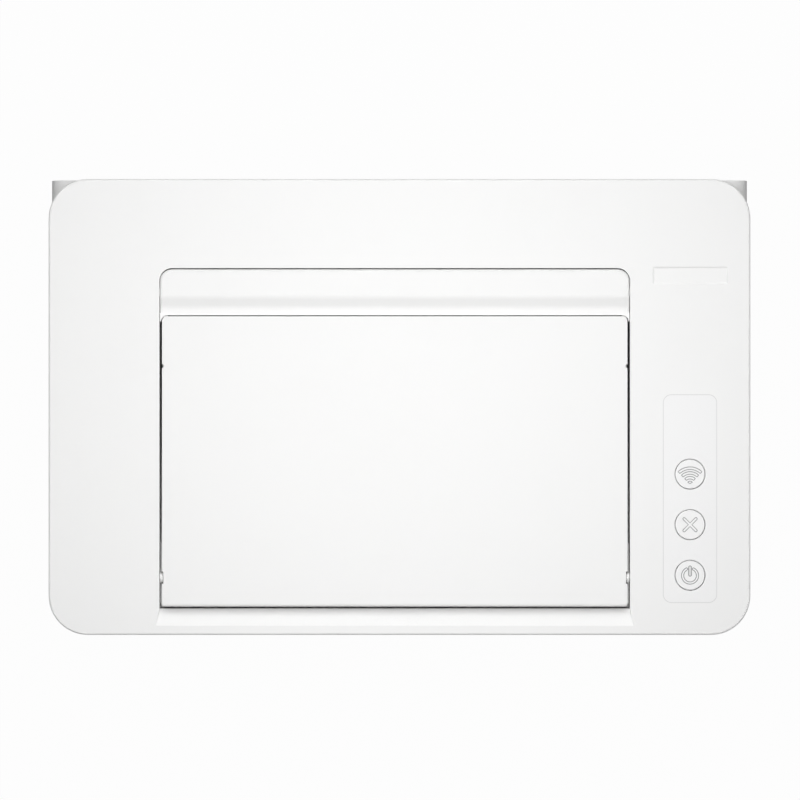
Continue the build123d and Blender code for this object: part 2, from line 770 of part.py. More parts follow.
# The solid that is cut away where the fingers reach under the front of the bin door
scoop_top_y = scoop_y - scoop_length
scoop_foot = height - scoop_depth
with BuildPart() as scoop:
    with BuildSketch(Plane.XY.offset(scoop_foot)):
        Polygon(
            (well_left, scoop_y), (well_right, scoop_y),
            (well_right + scoop_flare, scoop_top_y), (well_left - scoop_flare, scoop_top_y),
            align=None,
        )
    extrude(amount=scoop_depth + overcut)
    slope = [
        (scoop_y, scoop_foot), (scoop_top_y, height), (scoop_top_y - overcut, height),
        (scoop_top_y - overcut, scoop_foot - overcut), (scoop_y, scoop_foot - overcut),
    ]
    prism(slope, (-half_width, half_width), mode=Mode.SUBTRACT)

# Top frame: a shallow lid over the whole body, open over the paper bin
frame_base = body_top + shadow_line
ring_inset = side_inset + shoulder_radius + ring_gap
board_top = height - board_drop
panel_left = panel_x - panel_width / 2
panel_right = panel_x + panel_width / 2
panel_front = panel_y - panel_length / 2
panel_rear = panel_y + panel_length / 2
button_spots = [(panel_x, button_y + step * button_pitch) for step in (1, 0, -1)]
with BuildPart() as top_frame:
    extrude(slab_plan(0, frame_base), amount=height - frame_base)
    fillet(top_frame.edges().group_by(Axis.Z)[-1], top_edge)
    extrude(slab_plan(wall, frame_base), amount=height - wall - frame_base, mode=Mode.SUBTRACT)
    # Rim that stands on the rear cover, and a ring that stands on the flanges of the other covers
    rim = (-rear_seam_x + seam, rear_seam_x - seam)
    block(rim, (rear_y - wall, rear_y - shadow_depth), (body_top, frame_base + overcut))
    extrude(slab_plan(ring_inset, body_top), amount=slab_height - wall / 2)
    extrude(slab_plan(ring_inset + ring_wall, body_top), amount=slab_height - wall, mode=Mode.SUBTRACT)
    for side in (-1, 1):
        boss = (side * screw_x - screw_boss, side * screw_x + screw_boss)
        boss_z = (body_top - 2 * screw_rise, height - wall / 2)
        block(boss, screw_boss_y, boss_z)
        screw_z = body_top - screw_rise
        bar_y(side * screw_x, screw_boss_y, screw_z, screw_radius, mode=Mode.SUBTRACT)
    # Walls of the well, and the foot of the scoop
    well = (well_left - well_wall, well_right + well_wall)
    block(well, (scoop_y, well_rear + well_wall), (body_top, height))
    cheeks = (well_left - scoop_flare - well_wall, well_right + scoop_flare + well_wall)
    foot = [
        (scoop_y, body_top), (scoop_y, scoop_foot), (scoop_top_y, height), (front_y + wall, height),
        (front_y + wall, height - wall), (scoop_y - wall, scoop_foot - wall), (scoop_y - wall, body_top),
    ]
    prism(foot, cheeks)
    block(cheeks, (scoop_top_y - wall, scoop_y), (scoop_foot, height))
    with BuildSketch(Plane.XY.offset(body_top - overcut)) as opening:
        with Locations((path_x, (scoop_y + well_rear) / 2)):
            Rectangle(well_right - well_left, well_rear - scoop_y)
        fillet(opening.vertices().group_by(Axis.Y)[-1], well_corner)
    extrude(amount=slab_height + 2 * overcut, mode=Mode.SUBTRACT)
    add(scoop.part, mode=Mode.SUBTRACT)
    bore_x = (well_left - well_wall - overcut, well_right + well_wall + overcut)
    bore = door_pin_radius + pin_clearance
    bar(bore_x, (door_hinge_y, door_hinge_z), bore, mode=Mode.SUBTRACT)
    # Control panel: a shallow bed, holes for the buttons, and posts for the board
    with BuildSketch(Plane.XY.offset(height - panel_thickness)):
        with Locations((panel_x, panel_y)):
            RectangleRounded(panel_width, panel_length, panel_corner)
    extrude(amount=panel_thickness, mode=Mode.SUBTRACT)
    with BuildSketch(Plane.XY.offset(height - wall)):
        with Locations(*button_spots):
            Circle(button_hole)
    extrude(amount=wall, mode=Mode.SUBTRACT)
    for x in (panel_left + board_inset, panel_right - board_inset):
        for y in (panel_front + board_inset, panel_rear - board_inset):
            post(x, y, (board_top, height - wall / 2 - panel_thickness), panel_post)
    with BuildSketch(Plane.XY.offset(height - plate_depth)):
        with Locations((plate_x, plate_y)):
            RectangleRounded(plate_width, plate_length, plate_corner)
    extrude(amount=plate_depth, mode=Mode.SUBTRACT)
save(top_frame, "top_frame")

# Bin door: the hood over the exit, the floor and sides of the output bin, and at the front a hollow
# that the nose of the paper flap swings into
hood_rear = well_rear - door_rear_gap
hood_corner = well_corner - hood_corner_gap
notch_y = flap_rear - notch_setback
hood_top = [
    (hood_rear, height), (hood_plateau, height),
    (trough_rear, height - trough_drop), (hood_front, height - trough_drop),
]
hood_low = height - side_depth
rest_z = flap_bottom - face_gap                     # top of the bin sides, under the flap
bin_rear_z = height - bin_rear_drop
bin_front_z = height - bin_front_drop
nose_radius = hypot(flap_pivot_y - flap_front, flap_top - flap_pivot_z)
trough_top = flap_pivot_z - nose_radius - nose_gap
trough_bottom = trough_top - nose_floor
lip_top = height - lip_drop
web_top = flap_pivot_z - web_drop
pivot = (flap_pivot_y, flap_pivot_z)
with BuildPart() as top_door:
    span = (door_left, door_right)
    prism([(hood_rear, hood_low), *hood_top, (hood_front, hood_low)], span)
    slope_ends = [
        top_door.edges().filter_by(Axis.X).sort_by_distance((path_x, *end))[0] for end in hood_top[1:3]
    ]
    fillet(slope_ends, hood_brow)
    rear_corners = top_door.edges().filter_by(Axis.Z).group_by(Axis.Y)[-1]
    fillet(rear_corners, hood_corner)
    rear_edge = top_door.edges().filter_by(Axis.X).sort_by_distance((path_x, hood_rear, height))[0]
    fillet(rear_edge, hood_edge)
    inside = [
        (hood_rear - bin_wall, hood_low - overcut), (hood_rear - bin_wall, height - hood_skin),
        (hood_plateau, height - hood_skin), (trough_rear, height - hood_skin - trough_drop),
        (hood_front + bin_wall, height - hood_skin - trough_drop),
        (hood_front + bin_wall, hood_low - overcut),
    ]
    prism(inside, (door_left + bin_wall, door_right - bin_wall), mode=Mode.SUBTRACT)
    inside_corners = top_door.edges().filter_by(Axis.Z).filter_by_position(
        Axis.Y, hood_rear - bin_wall - seam, hood_rear - bin_wall + seam
    )
    fillet(inside_corners, hood_corner - bin_wall)
    arm_y = (flap_rear - flap_rear_corner, hood_front + bin_wall / 2)
    arm_top = height - trough_drop
    left_corner = flap_left + flap_rear_corner
    right_corner = flap_right - flap_rear_corner
    for outer, corner in ((door_left, left_corner), (door_right, right_corner)):
        block((min(outer, corner), max(outer, corner)), arm_y, (arm_top - hood_arm_depth, arm_top))
        post(
            corner, arm_y[0], (arm_top - hood_arm_depth - overcut, height), flap_rear_corner + flap_rear_gap,
            mode=Mode.SUBTRACT,
        )
    side_profile = [
        (nose_rear, bin_front_z - bin_floor), (nose_rear, rest_z), (hood_front + bin_wall, rest_z),
        (hood_front + bin_wall, hood_low), (bin_rear, hood_low), (bin_rear, bin_rear_z - bin_floor),
    ]
    bin_left = door_left + bin_inset
    bin_right = door_right - bin_inset
    for side_x in ((bin_left, bin_left + bin_wall), (bin_right - bin_wall, bin_right)):
        prism(side_profile, side_x)
    for notch_x in (flap_left, flap_right):
        pocket = (rest_z - notch_pocket, rest_z + overcut)
        post(notch_x, notch_y, pocket, notch_radius + notch_margin, mode=Mode.SUBTRACT)
    floor_profile = [
        (nose_rear - lip_thickness, bin_front_z), (bin_rear, bin_rear_z), (bin_rear, bin_rear_z - bin_floor),
        (nose_rear - lip_thickness, bin_front_z - bin_floor),
    ]
    prism(floor_profile, span)
    block(span, (bin_rear - lip_thickness, bin_rear), (bin_rear_z - bin_lip, bin_rear_z + bin_rise))
    block(span, (nose_rear - lip_thickness, nose_rear), (trough_bottom, bin_front_z))
    block(span, (lip_front + lip_thickness, nose_rear), (trough_bottom, trough_top))
    lip = [
        (lip_front + lip_draft, trough_bottom), (lip_front + lip_thickness, trough_bottom),
        (lip_front + lip_thickness, lip_top), (lip_front, lip_top),
    ]
    prism(lip, span)
    ear_y = (flap_pivot_y - flap_ear_radius, flap_pivot_y + flap_ear_radius)
    for outer, inward in ((door_left, 1), (door_right, -1)):
        web_end = outer + inward * flap_web
        ear_end = outer + inward * flap_ear
        web = (min(outer, web_end), max(outer, web_end))
        ear = (min(outer, ear_end), max(outer, ear_end))
        block(web, (lip_front + lip_thickness, nose_rear), (trough_bottom, web_top))
        block(web, ear_y, (web_top - overcut, flap_pivot_z))
        bar(ear, pivot, flap_ear_radius)
        bar(ear, pivot, flap_pin_radius + pin_clearance, mode=Mode.SUBTRACT)
    hinge = (door_hinge_y, door_hinge_z)
    bar((well_left - well_wall, door_left + bin_wall), hinge, door_pin_radius)
    bar((door_right - bin_wall, well_right + well_wall), hinge, door_pin_radius)
save(top_door, "top_door")

# Paper flap over the bin. It turns about the ears of the bin door, near its front edge.
ear_left = door_left + flap_ear + door_side_gap
ear_right = door_right - flap_ear - door_side_gap
ear_room = 2 * (flap_ear_radius + lid_seam)
with BuildPart() as output_flap:
    with BuildSketch(Plane.XY.offset(flap_bottom)) as flap_plan:
        with Locations((path_x, (flap_front + flap_rear) / 2)):
            Rectangle(flap_right - flap_left, flap_rear - flap_front)
        fillet(flap_plan.vertices().group_by(Axis.Y)[-1], flap_rear_corner)
        fillet(flap_plan.vertices().group_by(Axis.Y)[0], flap_front_corner)
        for side, inner in ((flap_left, ear_left), (flap_right, ear_right)):
            with Locations((side, flap_pivot_y)):
                Rectangle(2 * abs(inner - side), ear_room, mode=Mode.SUBTRACT)
        with Locations((flap_left, notch_y), (flap_right, notch_y)):
            Circle(notch_radius, mode=Mode.SUBTRACT)
    extrude(amount=flap_thickness)
    # The front edge is rounded over by a cut, because its ends run into the notches for the ears
    with BuildSketch(Plane.YZ.offset(door_left)):
        with Locations((flap_front + flap_front_edge / 2, flap_top - flap_front_edge / 2)):
            Rectangle(flap_front_edge, flap_front_edge)
        with Locations((flap_front + flap_front_edge, flap_top - flap_front_edge)):
            Circle(flap_front_edge, mode=Mode.SUBTRACT)
    extrude(amount=door_right - door_left, mode=Mode.SUBTRACT)
    pin = flap_ear + door_side_gap - 2 * pin_clearance
    for inner, outward in ((ear_left, -1), (ear_right, 1)):
        lug_end = inner - outward * flap_lug
        lug_x = (min(inner, lug_end), max(inner, lug_end))
        bar(lug_x, pivot, flap_lug_radius)
        lug_y = (flap_pivot_y - flap_lug_radius, flap_pivot_y + flap_lug_radius)
        block(lug_x, lug_y, (flap_pivot_z, flap_bottom + flap_thickness / 2))
        pin_end = inner + outward * pin
        bar((min(inner, pin_end), max(inner, pin_end)), pivot, flap_pin_radius)
save(output_flap, "output_flap")

with BuildPart() as control_overlay:
    with BuildSketch(Plane.XY.offset(height - panel_thickness)):
        with Locations((panel_x, panel_y)):
            RectangleRounded(panel_width, panel_length, panel_corner)
        with Locations(*button_spots):
            Circle(button_hole, mode=Mode.SUBTRACT)
    extrude(amount=panel_thickness)
save(control_overlay, "control_overlay")

# Buttons, each with a flange that holds it under the top frame, and a stem over its switch
flange_top = height - wall - face_gap
flange_bottom = flange_top - button_flange_thickness
stem_end = board_top + switch_height
switch_top = stem_end - button_travel - switch_gap
switch_body = switch_top - overcut
for spot, button_name in zip(button_spots, ("wireless_button", "cancel_button", "power_button")):
    with BuildPart() as button:
        post(*spot, (flange_bottom, height + button_proud), button_radius)
        fillet(button.edges().group_by(Axis.Z)[-1], button_edge)
        post(*spot, (flange_bottom, flange_top), button_hole + button_flange)
        post(*spot, (stem_end, flange_bottom), button_stem)
    save(button, button_name)

with BuildPart() as panel_board:
    edge = board_inset - panel_post
    block(
        (panel_left + edge, panel_right - edge), (panel_front + edge, panel_rear - edge),
        (board_top - board_thickness, board_top),
    )
    for x, y in button_spots:
        switch_x = (x - switch_half, x + switch_half)
        block(switch_x, (y - switch_half, y + switch_half), (board_top, switch_body))
        post(x, y, (board_top, switch_top), switch_pin)
save(panel_board, "panel_board")

# Front door of the paper tray, and the support that slides out of it
extension_half = frame_half - extension_margin
extension_low = hinge_axis[1] + barrel_radius + face_gap
extension_y = (body_front + wall + lid_seam, body_front + wall + lid_seam + extension_thickness)
rail_depth = extension_y[1] + face_gap + rail_thickness
extension_high = extension_low + extension_height
with BuildPart() as tray_door:
    panel = (-front_half, front_half)
    block(panel, (body_front, body_front + wall), (hinge_axis[1], tray_door_top))
    bar(panel, hinge_axis, barrel_radius)
    pin_end = front_seam_x + barrel_pin_length
    bar((-pin_end, pin_end), hinge_axis, barrel_pin_radius)
    pull = (path_x - pull_half, path_x + pull_half)
    pull_z = (tray_door_top - pull_height, tray_door_top + overcut)
    block(pull, (body_front, body_front + wall / 2), pull_z, mode=Mode.SUBTRACT)
    for side in (-1, 1):
        edge = path_x + side * (extension_half + face_gap)
        outer = edge + side * rail_lip
        inner = edge - side * rail_lip
        rail_z = (extension_low + rail_low, tray_door_top - rail_high)
        block((min(edge, outer), max(edge, outer)), (body_front + wall, rail_depth), rail_z)
        lip_x = (min(inner, outer), max(inner, outer))
        block(lip_x, (rail_depth - rail_thickness, rail_depth), rail_z)
save(tray_door, "tray_door")

with BuildPart() as tray_extension:
    block((path_x - extension_half, path_x + extension_half), extension_y, (extension_low, extension_high))
    hold_half = extension_half - rail_lip - face_gap * 2
    hold_y = (extension_y[0], extension_y[1] + extension_grip)
    hold_z = (extension_high - extension_grip_height, extension_high)
    block((path_x - hold_half, path_x + hold_half), hold_y, hold_z)
save(tray_extension, "tray_extension")

# Paper guides: each has a wall above the tray floor and a rack below it, and one pinion joins the racks
guide_inner = paper_width / 2 + guide_gap
rack_z = base_top + rack_clear
wall_z = floor_top + rack_clear
pinion_radius = module * guide_teeth / 2
rack_pitch = pi * module


def rack_points(start, end, pitch_line, way):
    """Plan of a rack between two x, with teeth that point along way in Y, and a gap at the pinion."""
    thickness = rack_pitch / 2 - backlash / 2
    slope = tan(pressure_angle)
    root = pitch_line - way * dedendum * module
    tip = pitch_line + way * addendum * module
    at_root = thickness / 2 + dedendum * module * slope
    at_tip = thickness / 2 - addendum * module * slope
    points = [(start, root - way * rack_bar), (start, root)]
    first = int((start + at_root - path_x) / rack_pitch - 0.5) - 1
    last = int((end - at_root - path_x) / rack_pitch - 0.5) + 1
    for tooth in range(first, last + 1):
        x = path_x + (tooth + 0.5) * rack_pitch
        if start + at_root < x < end - at_root:
            points += [(x - at_root, root), (x - at_tip, tip), (x + at_tip, tip), (x + at_root, root)]
    return points + [(end, root), (end, root - way * rack_bar)]


for side, guide_name in ((-1, "left_guide"), (1, "right_guide")):
    inner = path_x + side * guide_inner
    outer = inner + side * guide_thickness
    past = path_x - side * rack_past
    pitch_line = pinion_y + side * pinion_radius
    stem_y = pinion_y + side * (rack_reach - rack_bar / 2)
    with BuildPart() as guide:
        guide_x = (min(inner, outer), max(inner, outer))
        block(guide_x, (guide_front, guide_rear), (wall_z, wall_z + guide_height))
        with BuildSketch(Plane.XY.offset(rack_z)):
            Polygon(*rack_points(min(outer, past), max(outer, past), pitch_line, -side), align=None)
        extrude(amount=rack_height)
        block(guide_x, (stem_y - guide_stem / 2, stem_y + guide_stem / 2), (rack_z, wall_z + overcut))
    save(guide, guide_name)

with BuildPart() as guide_pinion:
    extrude(gear_plan(guide_teeth, 0.0, Plane.XY.offset(rack_z), (path_x, pinion_y)), amount=rack_height)
    post(path_x, pinion_y, (rack_z, rack_z + rack_height), stud_radius + pin_clearance, mode=Mode.SUBTRACT)
save(guide_pinion, "guide_pinion")

with BuildPart() as tray_floor:
    floor_x = (path_x - floor_half, path_x + floor_half)
    block(floor_x, (floor_front, floor_rear), (floor_bottom, floor_top))
    for side in (-1, 1):
        outer = path_x + side * (guide_inner + guide_thickness + lid_seam)
        inner = path_x + side * (guide_inner - guide_travel - lid_seam)
        stem_y = pinion_y + side * (rack_reach - rack_bar / 2)
        slot_y = (stem_y - guide_stem / 2 - lid_seam, stem_y + guide_stem / 2 + lid_seam)
        block((min(outer, inner), max(outer, inner)), slot_y, (floor_bottom, floor_top), mode=Mode.SUBTRACT)
save(tray_floor, "tray_floor")

# Plate that lifts the front of the paper to the pickup roller, and its springs
with BuildPart() as lift_plate:
    plate_x_span = (path_x - lift_half, path_x + lift_half)
    block(plate_x_span, (lift_y - lift_front, lift_rear), (floor_bottom, floor_top))
    pins = (path_x - lift_half - lift_pin_length, path_x + lift_half + lift_pin_length)
    bar(pins, (lift_y, lift_z), lift_pin_radius)
save(lift_plate, "lift_plate")

spring_length = floor_height - face_gap - 2 * spring_wire
with BuildPart() as lift_springs:
    for side in (-1, 1):
        with BuildLine() as coil:
            Helix(
                pitch=spring_length / spring_turns, height=spring_length, radius=spring_radius,
                center=(path_x + side * spring_x, spring_y, base_top + spring_wire),
            )
        with BuildSketch(coil.line ^ 0):
            RegularPolygon(spring_wire, spring_sides)
        sweep(is_frenet=True)
save(lift_springs, "lift_springs")

# Pad that holds the second sheet back, on a post under the pickup roller
out = (cos(pad_angle), sin(pad_angle))
along = (-sin(pad_angle), cos(pad_angle))


def pad_point(distance, offset):
    """Point at a distance out from the pickup axis, offset along the pad."""
    y = pickup[0] + out[0] * distance + along[0] * offset
    z = pickup[1] + out[1] * distance + along[1] * offset
    return (y, z)


with BuildPart() as separation_pad:
    pad_x = (path_x - pickup_width / 2, path_x + pickup_width / 2)
    near = pickup_radius + face_gap
    low = pad_point(near + pad_thickness, -pad_half)
    high = pad_point(near + pad_thickness, pad_half)
    prism([pad_point(near, -pad_half), pad_point(near, pad_half), high, low], pad_x)
    prism([low, high, (high[0] + pad_foot, base_top), (low[0], base_top)], pad_x)
save(separation_pad, "separation_pad")

# Side frames, with a bore for every shaft
shaft_bores = [(axis, shaft_radius) for axis in (drum, transfer, feed, feed_pinch, pickup)]
shaft_bores += [(axis, exit_shaft_radius) for axis in (exit_axis, exit_pinch)]
board_face = frame_left - frame_thickness - board_standoff
board_x = (board_face - board_thickness, board_face)
main_board_rear = body_rear - wall - board_rear_gap
main_board_y = (main_board_rear - main_board_length, main_board_rear)
main_board_z = (base_top + main_board_low, body_top - main_board_top_gap)
power_board_y = (frame_front + power_board_front, frame_rear - power_board_rear)
power_board_z = (base_top + power_board_low, base_top + power_board_high)
for side, frame_name in ((-1, "left_frame"), (1, "right_frame")):
    inner = frame_left if side < 0 else frame_right
    outer = inner + side * frame_thickness
    plate = (min(inner, outer), max(inner, outer))
    with BuildPart() as side_frame:
        block(plate, (frame_front, frame_rear), (base_top, body_top))
        flange_end = inner + side * frame_flange
        flange_x = (min(inner, flange_end), max(inner, flange_end))
        flange_y = (frame_front, frame_front + frame_flange_thickness)
        block(flange_x, flange_y, (base_top, body_top - wall - overcut))
        for axis, radius in shaft_bores:
            bar(plate, axis, radius + pin_clearance, mode=Mode.SUBTRACT)
        heat_bore = lamp_radius if side < 0 else journal_radius + pin_clearance
        bar(plate, heat, heat_bore, mode=Mode.SUBTRACT)
        if side < 0:
            for ys, zs in ((main_board_y, main_board_z), (power_board_y, power_board_z)):
                for y in (ys[0] + standoff_inset, ys[1] - standoff_end):
                    for z in (zs[0] + standoff_inset, zs[1] - standoff_inset):
                        bar((board_face, outer), (y, z), standoff_radius)
        else:
            for axis in (main_axis, fuser_idler, exit_idler, feed_idler, pickup_idler):
                bar((outer, drive_plate_x), axis, gear_stud_radius)
                bar((outer, gear_x - face_gap), axis, gear_stud_radius + gear_stud_shoulder)
    save(side_frame, frame_name)

# Deck between the side frames, for the scanner and the rails of the toner cartridge
deck_z = drum[1] - deck_drop
deck_top = deck_z + deck_thickness
deck_rear = pickup[0] - pickup_radius - deck_setback
cartridge_low = drum[1] - cartridge_drop
scanner_front = frame_front + scanner_front_gap
scanner_y = (scanner_front, scanner_front + scanner_depth)
cartridge_front = scanner_y[1] + scanner_rear_gap
with BuildPart() as middle_frame:
    block((frame_left, frame_right), (frame_front + deck_setback, deck_rear), (deck_z, deck_top))
    for start in (frame_left, frame_right - rail_width):
        rail_y = (cartridge_front + rail_start, deck_rear)
        block((start, start + rail_width), rail_y, (deck_top, cartridge_low))
save(middle_frame, "middle_frame")

# Toner cartridge: hopper, cleaner and end plates round the photosensitive drum
cartridge_left = frame_left + cartridge_gap
cartridge_right = frame_right - cartridge_gap
cartridge_high = drum[1] + cartridge_rise
hopper_mouth = drum[0] - drum_radius - overcut
hopper_step = drum[0] - cartridge_back
hopper = [
    (cartridge_front, cartridge_low + hopper_rise), (hopper_step, cartridge_low + 2 * hopper_rise),
    (hopper_mouth, drum[1] - mouth_low), (hopper_mouth, drum[1] + mouth_high),
    (drum[0] - hopper_shoulder, drum[1] + hopper_shoulder_rise), (cartridge_front, cartridge_high),
]
end_low = drum[1] - drum_radius - end_plate
end_high = drum[1] + end_plate_rise
end_profile = [
    (cartridge_front, cartridge_low), (hopper_step, cartridge_low), (drum[0] - end_plate_heel, end_low),
    (drum[0] + end_plate_rear, end_low), (drum[0] + end_plate_rear, end_high),
    (drum[0] - drum_radius - end_plate, end_high),
    (cartridge_front + end_plate_slope, cartridge_high), (cartridge_front, cartridge_high),
]
grip_y = (cartridge_front + grip_start, cartridge_front + grip_start + grip_length)
grip_z = drum[1] + grip_rise
with BuildPart() as toner_cartridge:
    prism(hopper, (cartridge_left, cartridge_right))
    cleaner_low = drum[1] + drum_radius + cleaner_gap
    cleaner_z = (cleaner_low, cleaner_low + cleaner_height)
    cleaner_y = (drum[0] - drum_radius, drum[0] + cleaner_rear)
    block((cartridge_left, cartridge_right), cleaner_y, cleaner_z)
    for start in (cartridge_left, cartridge_right - end_plate):
        prism(end_profile, (start, start + end_plate))
    grip_x = (path_x - grip_half, path_x + grip_half)
    block(grip_x, grip_y, (grip_z, cartridge_high + overcut), mode=Mode.SUBTRACT)
    bar(grip_x, ((grip_y[0] + grip_y[1]) / 2, grip_z + grip_rise), grip_bar_radius)
    bar((cartridge_left, cartridge_right), drum, shaft_radius + pin_clearance, mode=Mode.SUBTRACT)
save(toner_cartridge, "toner_cartridge")

# Rollers. Each turns in the side frames, and the driven ones carry a gear outside the right frame.
shaft_left = frame_left - frame_thickness
shaft_right = frame_right + frame_thickness
driven_end = gear_end + shaft_end
roller_left = frame_left + roller_margin
roller_right = frame_right - roller_margin

with BuildPart() as photo_drum:
    bar((roller_left + drum_end_gap, roller_right - drum_end_gap), drum, drum_radius)
    bar((shaft_left, driven_end), drum, shaft_radius)
save(photo_drum, "photo_drum")

with BuildPart() as drum_gear:
    extrude(gear_plan(drum_teeth, drum_phase, gear_plane, drum), amount=gear_width)
    bar((gear_x, gear_end), drum, shaft_radius, mode=Mode.SUBTRACT)
save(drum_gear, "drum_gear")

with BuildPart() as transfer_roller:
    bar((roller_left, roller_right), transfer, transfer_radius)
    bar((shaft_left, shaft_right), transfer, shaft_radius)
save(transfer_roller, "transfer_roller")

with BuildPart() as feed_roller:
    bar((roller_left, roller_right), feed, feed_radius)
    bar((shaft_left, driven_end), feed, shaft_radius)
    extrude(gear_plan(feed_teeth, feed_phase, gear_plane, feed), amount=gear_width)
save(feed_roller, "feed_roller")

with BuildPart() as feed_pinch_roller:
    bar((roller_left, roller_right), feed_pinch, feed_pinch_radius)
    bar((shaft_left, shaft_right), feed_pinch, shaft_radius)
save(feed_pinch_roller, "feed_pinch_roller")

pickup_x = (path_x - pickup_width / 2, path_x + pickup_width / 2)
with BuildPart() as pickup_shaft:
    bar((shaft_left, driven_end), pickup, shaft_radius)
    bar(pickup_x, pickup, pickup_core)
    extrude(gear_plan(pickup_teeth, pickup_phase, gear_plane, pickup), amount=gear_width)
save(pickup_shaft, "pickup_shaft")

with BuildPart() as pickup_tyre:
    bar(pickup_x, pickup, pickup_radius)
    flat_z = (pickup[1] - pickup_radius - overcut, pickup[1] - pickup_radius + pickup_flat)
    block(pickup_x, (pickup[0] - pickup_radius, pickup[0] + pickup_radius), flat_z, mode=Mode.SUBTRACT)
    bar(pickup_x, pickup, pickup_core, mode=Mode.SUBTRACT)
save(pickup_tyre, "pickup_tyre")

# Fuser: a frame of its own between the side frames, a heated roller over a lamp, and a pressure roller
fuser_low = heat[1] - fuser_half_height
fuser_high = heat[1] + fuser_half_height
fuser_y = (heat[0] - fuser_margin, pressure[0] + fuser_margin)
heat_x = (frame_left + fuser_plate + lid_seam, frame_right - fuser_plate - lid_seam)
with BuildPart() as fuser_frame:
    for start in (frame_left, frame_right - fuser_plate):
        plate = (start, start + fuser_plate)
        block(plate, fuser_y, (fuser_low, fuser_high))
        bar(plate, heat, journal_radius + pin_clearance, mode=Mode.SUBTRACT)
        bar(plate, pressure, shaft_radius + pin_clearance, mode=Mode.SUBTRACT)
    across = (frame_left + fuser_plate, frame_right - fuser_plate)
    front_half_y = (fuser_y[0], heat[0] + fuser_cover)
    block(across, front_half_y, (fuser_high - fuser_sheet, fuser_high))
    block(across, front_half_y, (fuser_low, fuser_low + fuser_sheet))
    block(across, (fuser_y[0], fuser_y[0] + fuser_sheet), (fuser_low, fuser_high))
    block(across, (fuser_y[1] - fuser_sheet, fuser_y[1]), (fuser_low, fuser_high))
save(fuser_frame, "fuser_frame")

with BuildPart() as heat_roller:
    bar(heat_x, heat, heat_radius)
    bar((frame_left + face_gap, driven_end), heat, journal_radius)
    bar((frame_left, driven_end + overcut), heat, (lamp_radius + journal_radius) / 2, mode=Mode.SUBTRACT)
save(heat_roller, "heat_roller")

with BuildPart() as fuser_gear:
    extrude(gear_plan(fuser_teeth, fuser_phase, gear_plane, heat), amount=gear_width)
    bar((gear_x, gear_end), heat, journal_radius, mode=Mode.SUBTRACT)
save(fuser_gear, "fuser_gear")

with BuildPart() as heat_lamp:
    bar((shaft_left, drive_plate_x), heat, lamp_radius)
save(heat_lamp, "heat_lamp")

with BuildPart() as pressure_roller:
    bar(heat_x, pressure, pressure_radius)
    bar((frame_left + face_gap, frame_right - face_gap), pressure, shaft_radius)
save(pressure_roller, "pressure_roller")

sleeve_pitch = (paper_width - sleeve_margin) / sleeve_count
sleeves = [path_x + (step - (sleeve_count - 1) / 2) * sleeve_pitch for step in range(sleeve_count)]
with BuildPart() as exit_roller:
    bar((shaft_left, driven_end), exit_axis, exit_shaft_radius)
    for x in sleeves:
        bar((x - sleeve_width / 2, x + sleeve_width / 2), exit_axis, exit_radius)
    extrude(gear_plan(exit_teeth, exit_phase, gear_plane, exit_axis), amount=gear_width)
save(exit_roller, "exit_roller")

with BuildPart() as exit_pinch_rollers:
    bar((shaft_left, shaft_right), exit_pinch, exit_shaft_radius)
    for x in sleeves:
        bar((x - sleeve_width / 2, x + sleeve_width / 2), exit_pinch, exit_pinch_radius)
save(exit_pinch_rollers, "exit_pinch_rollers")

# Free gears on the studs of the right frame
for gear_name, teeth, phase, axis in (
    ("main_gear", main_teeth, main_phase, main_axis),
    ("fuser_idler_gear", fuser_idler_teeth, fuser_idler_phase, fuser_idler),
    ("exit_idler_gear", exit_idler_teeth, exit_idler_phase, exit_idler),
    ("feed_idler_gear", feed_idler_teeth, feed_idler_phase, feed_idler),
    ("pickup_idler_gear", pickup_idler_teeth, pickup_idler_phase, pickup_idler),
):
    with BuildPart() as free_gear:
        extrude(gear_plan(teeth, phase, gear_plane, axis), amount=gear_width)
        bar((gear_x, gear_end), axis, gear_stud_radius + pin_clearance, mode=Mode.SUBTRACT)
    save(free_gear, gear_name)

# Motor on its plate, with the pinion that drives the train
motor_x = drive_plate_x + drive_plate_thickness
drive_plate_y = (motor_axis[0] - motor_radius - drive_plate_margin, paper_y + drive_plate_rear)
drive_plate_z = (pickup_idler[1] - drive_plate_low, exit_idler[1] + drive_plate_high)
with BuildPart() as motor_pinion:
    extrude(gear_plan(motor_teeth, motor_phase, gear_plane, motor_axis), amount=gear_width)
    bar((gear_end, motor_x + motor_shaft_depth), motor_axis, motor_shaft)
save(motor_pinion, "motor_pinion")

with BuildPart() as drive_plate:
    block((drive_plate_x, motor_x), drive_plate_y, drive_plate_z)
    bar((drive_plate_x, motor_x), motor_axis, motor_radius / 3, mode=Mode.SUBTRACT)
    for y in (drive_plate_y[0] + drive_post_inset, drive_plate_y[1] - drive_post_inset):
        for z in (drive_plate_z[0] + drive_post_inset, drive_plate_z[1] - drive_post_inset):
            bar((shaft_right, drive_plate_x), (y, z), drive_post_radius)
save(drive_plate, "drive_plate")

with BuildPart() as drive_motor:
    bar((motor_x, motor_x + motor_length), motor_axis, motor_radius)
    bore_x = (motor_x, motor_x + motor_shaft_depth + face_gap)
    bar(bore_x, motor_axis, motor_shaft + pin_clearance, mode=Mode.SUBTRACT)
save(drive_motor, "drive_motor")

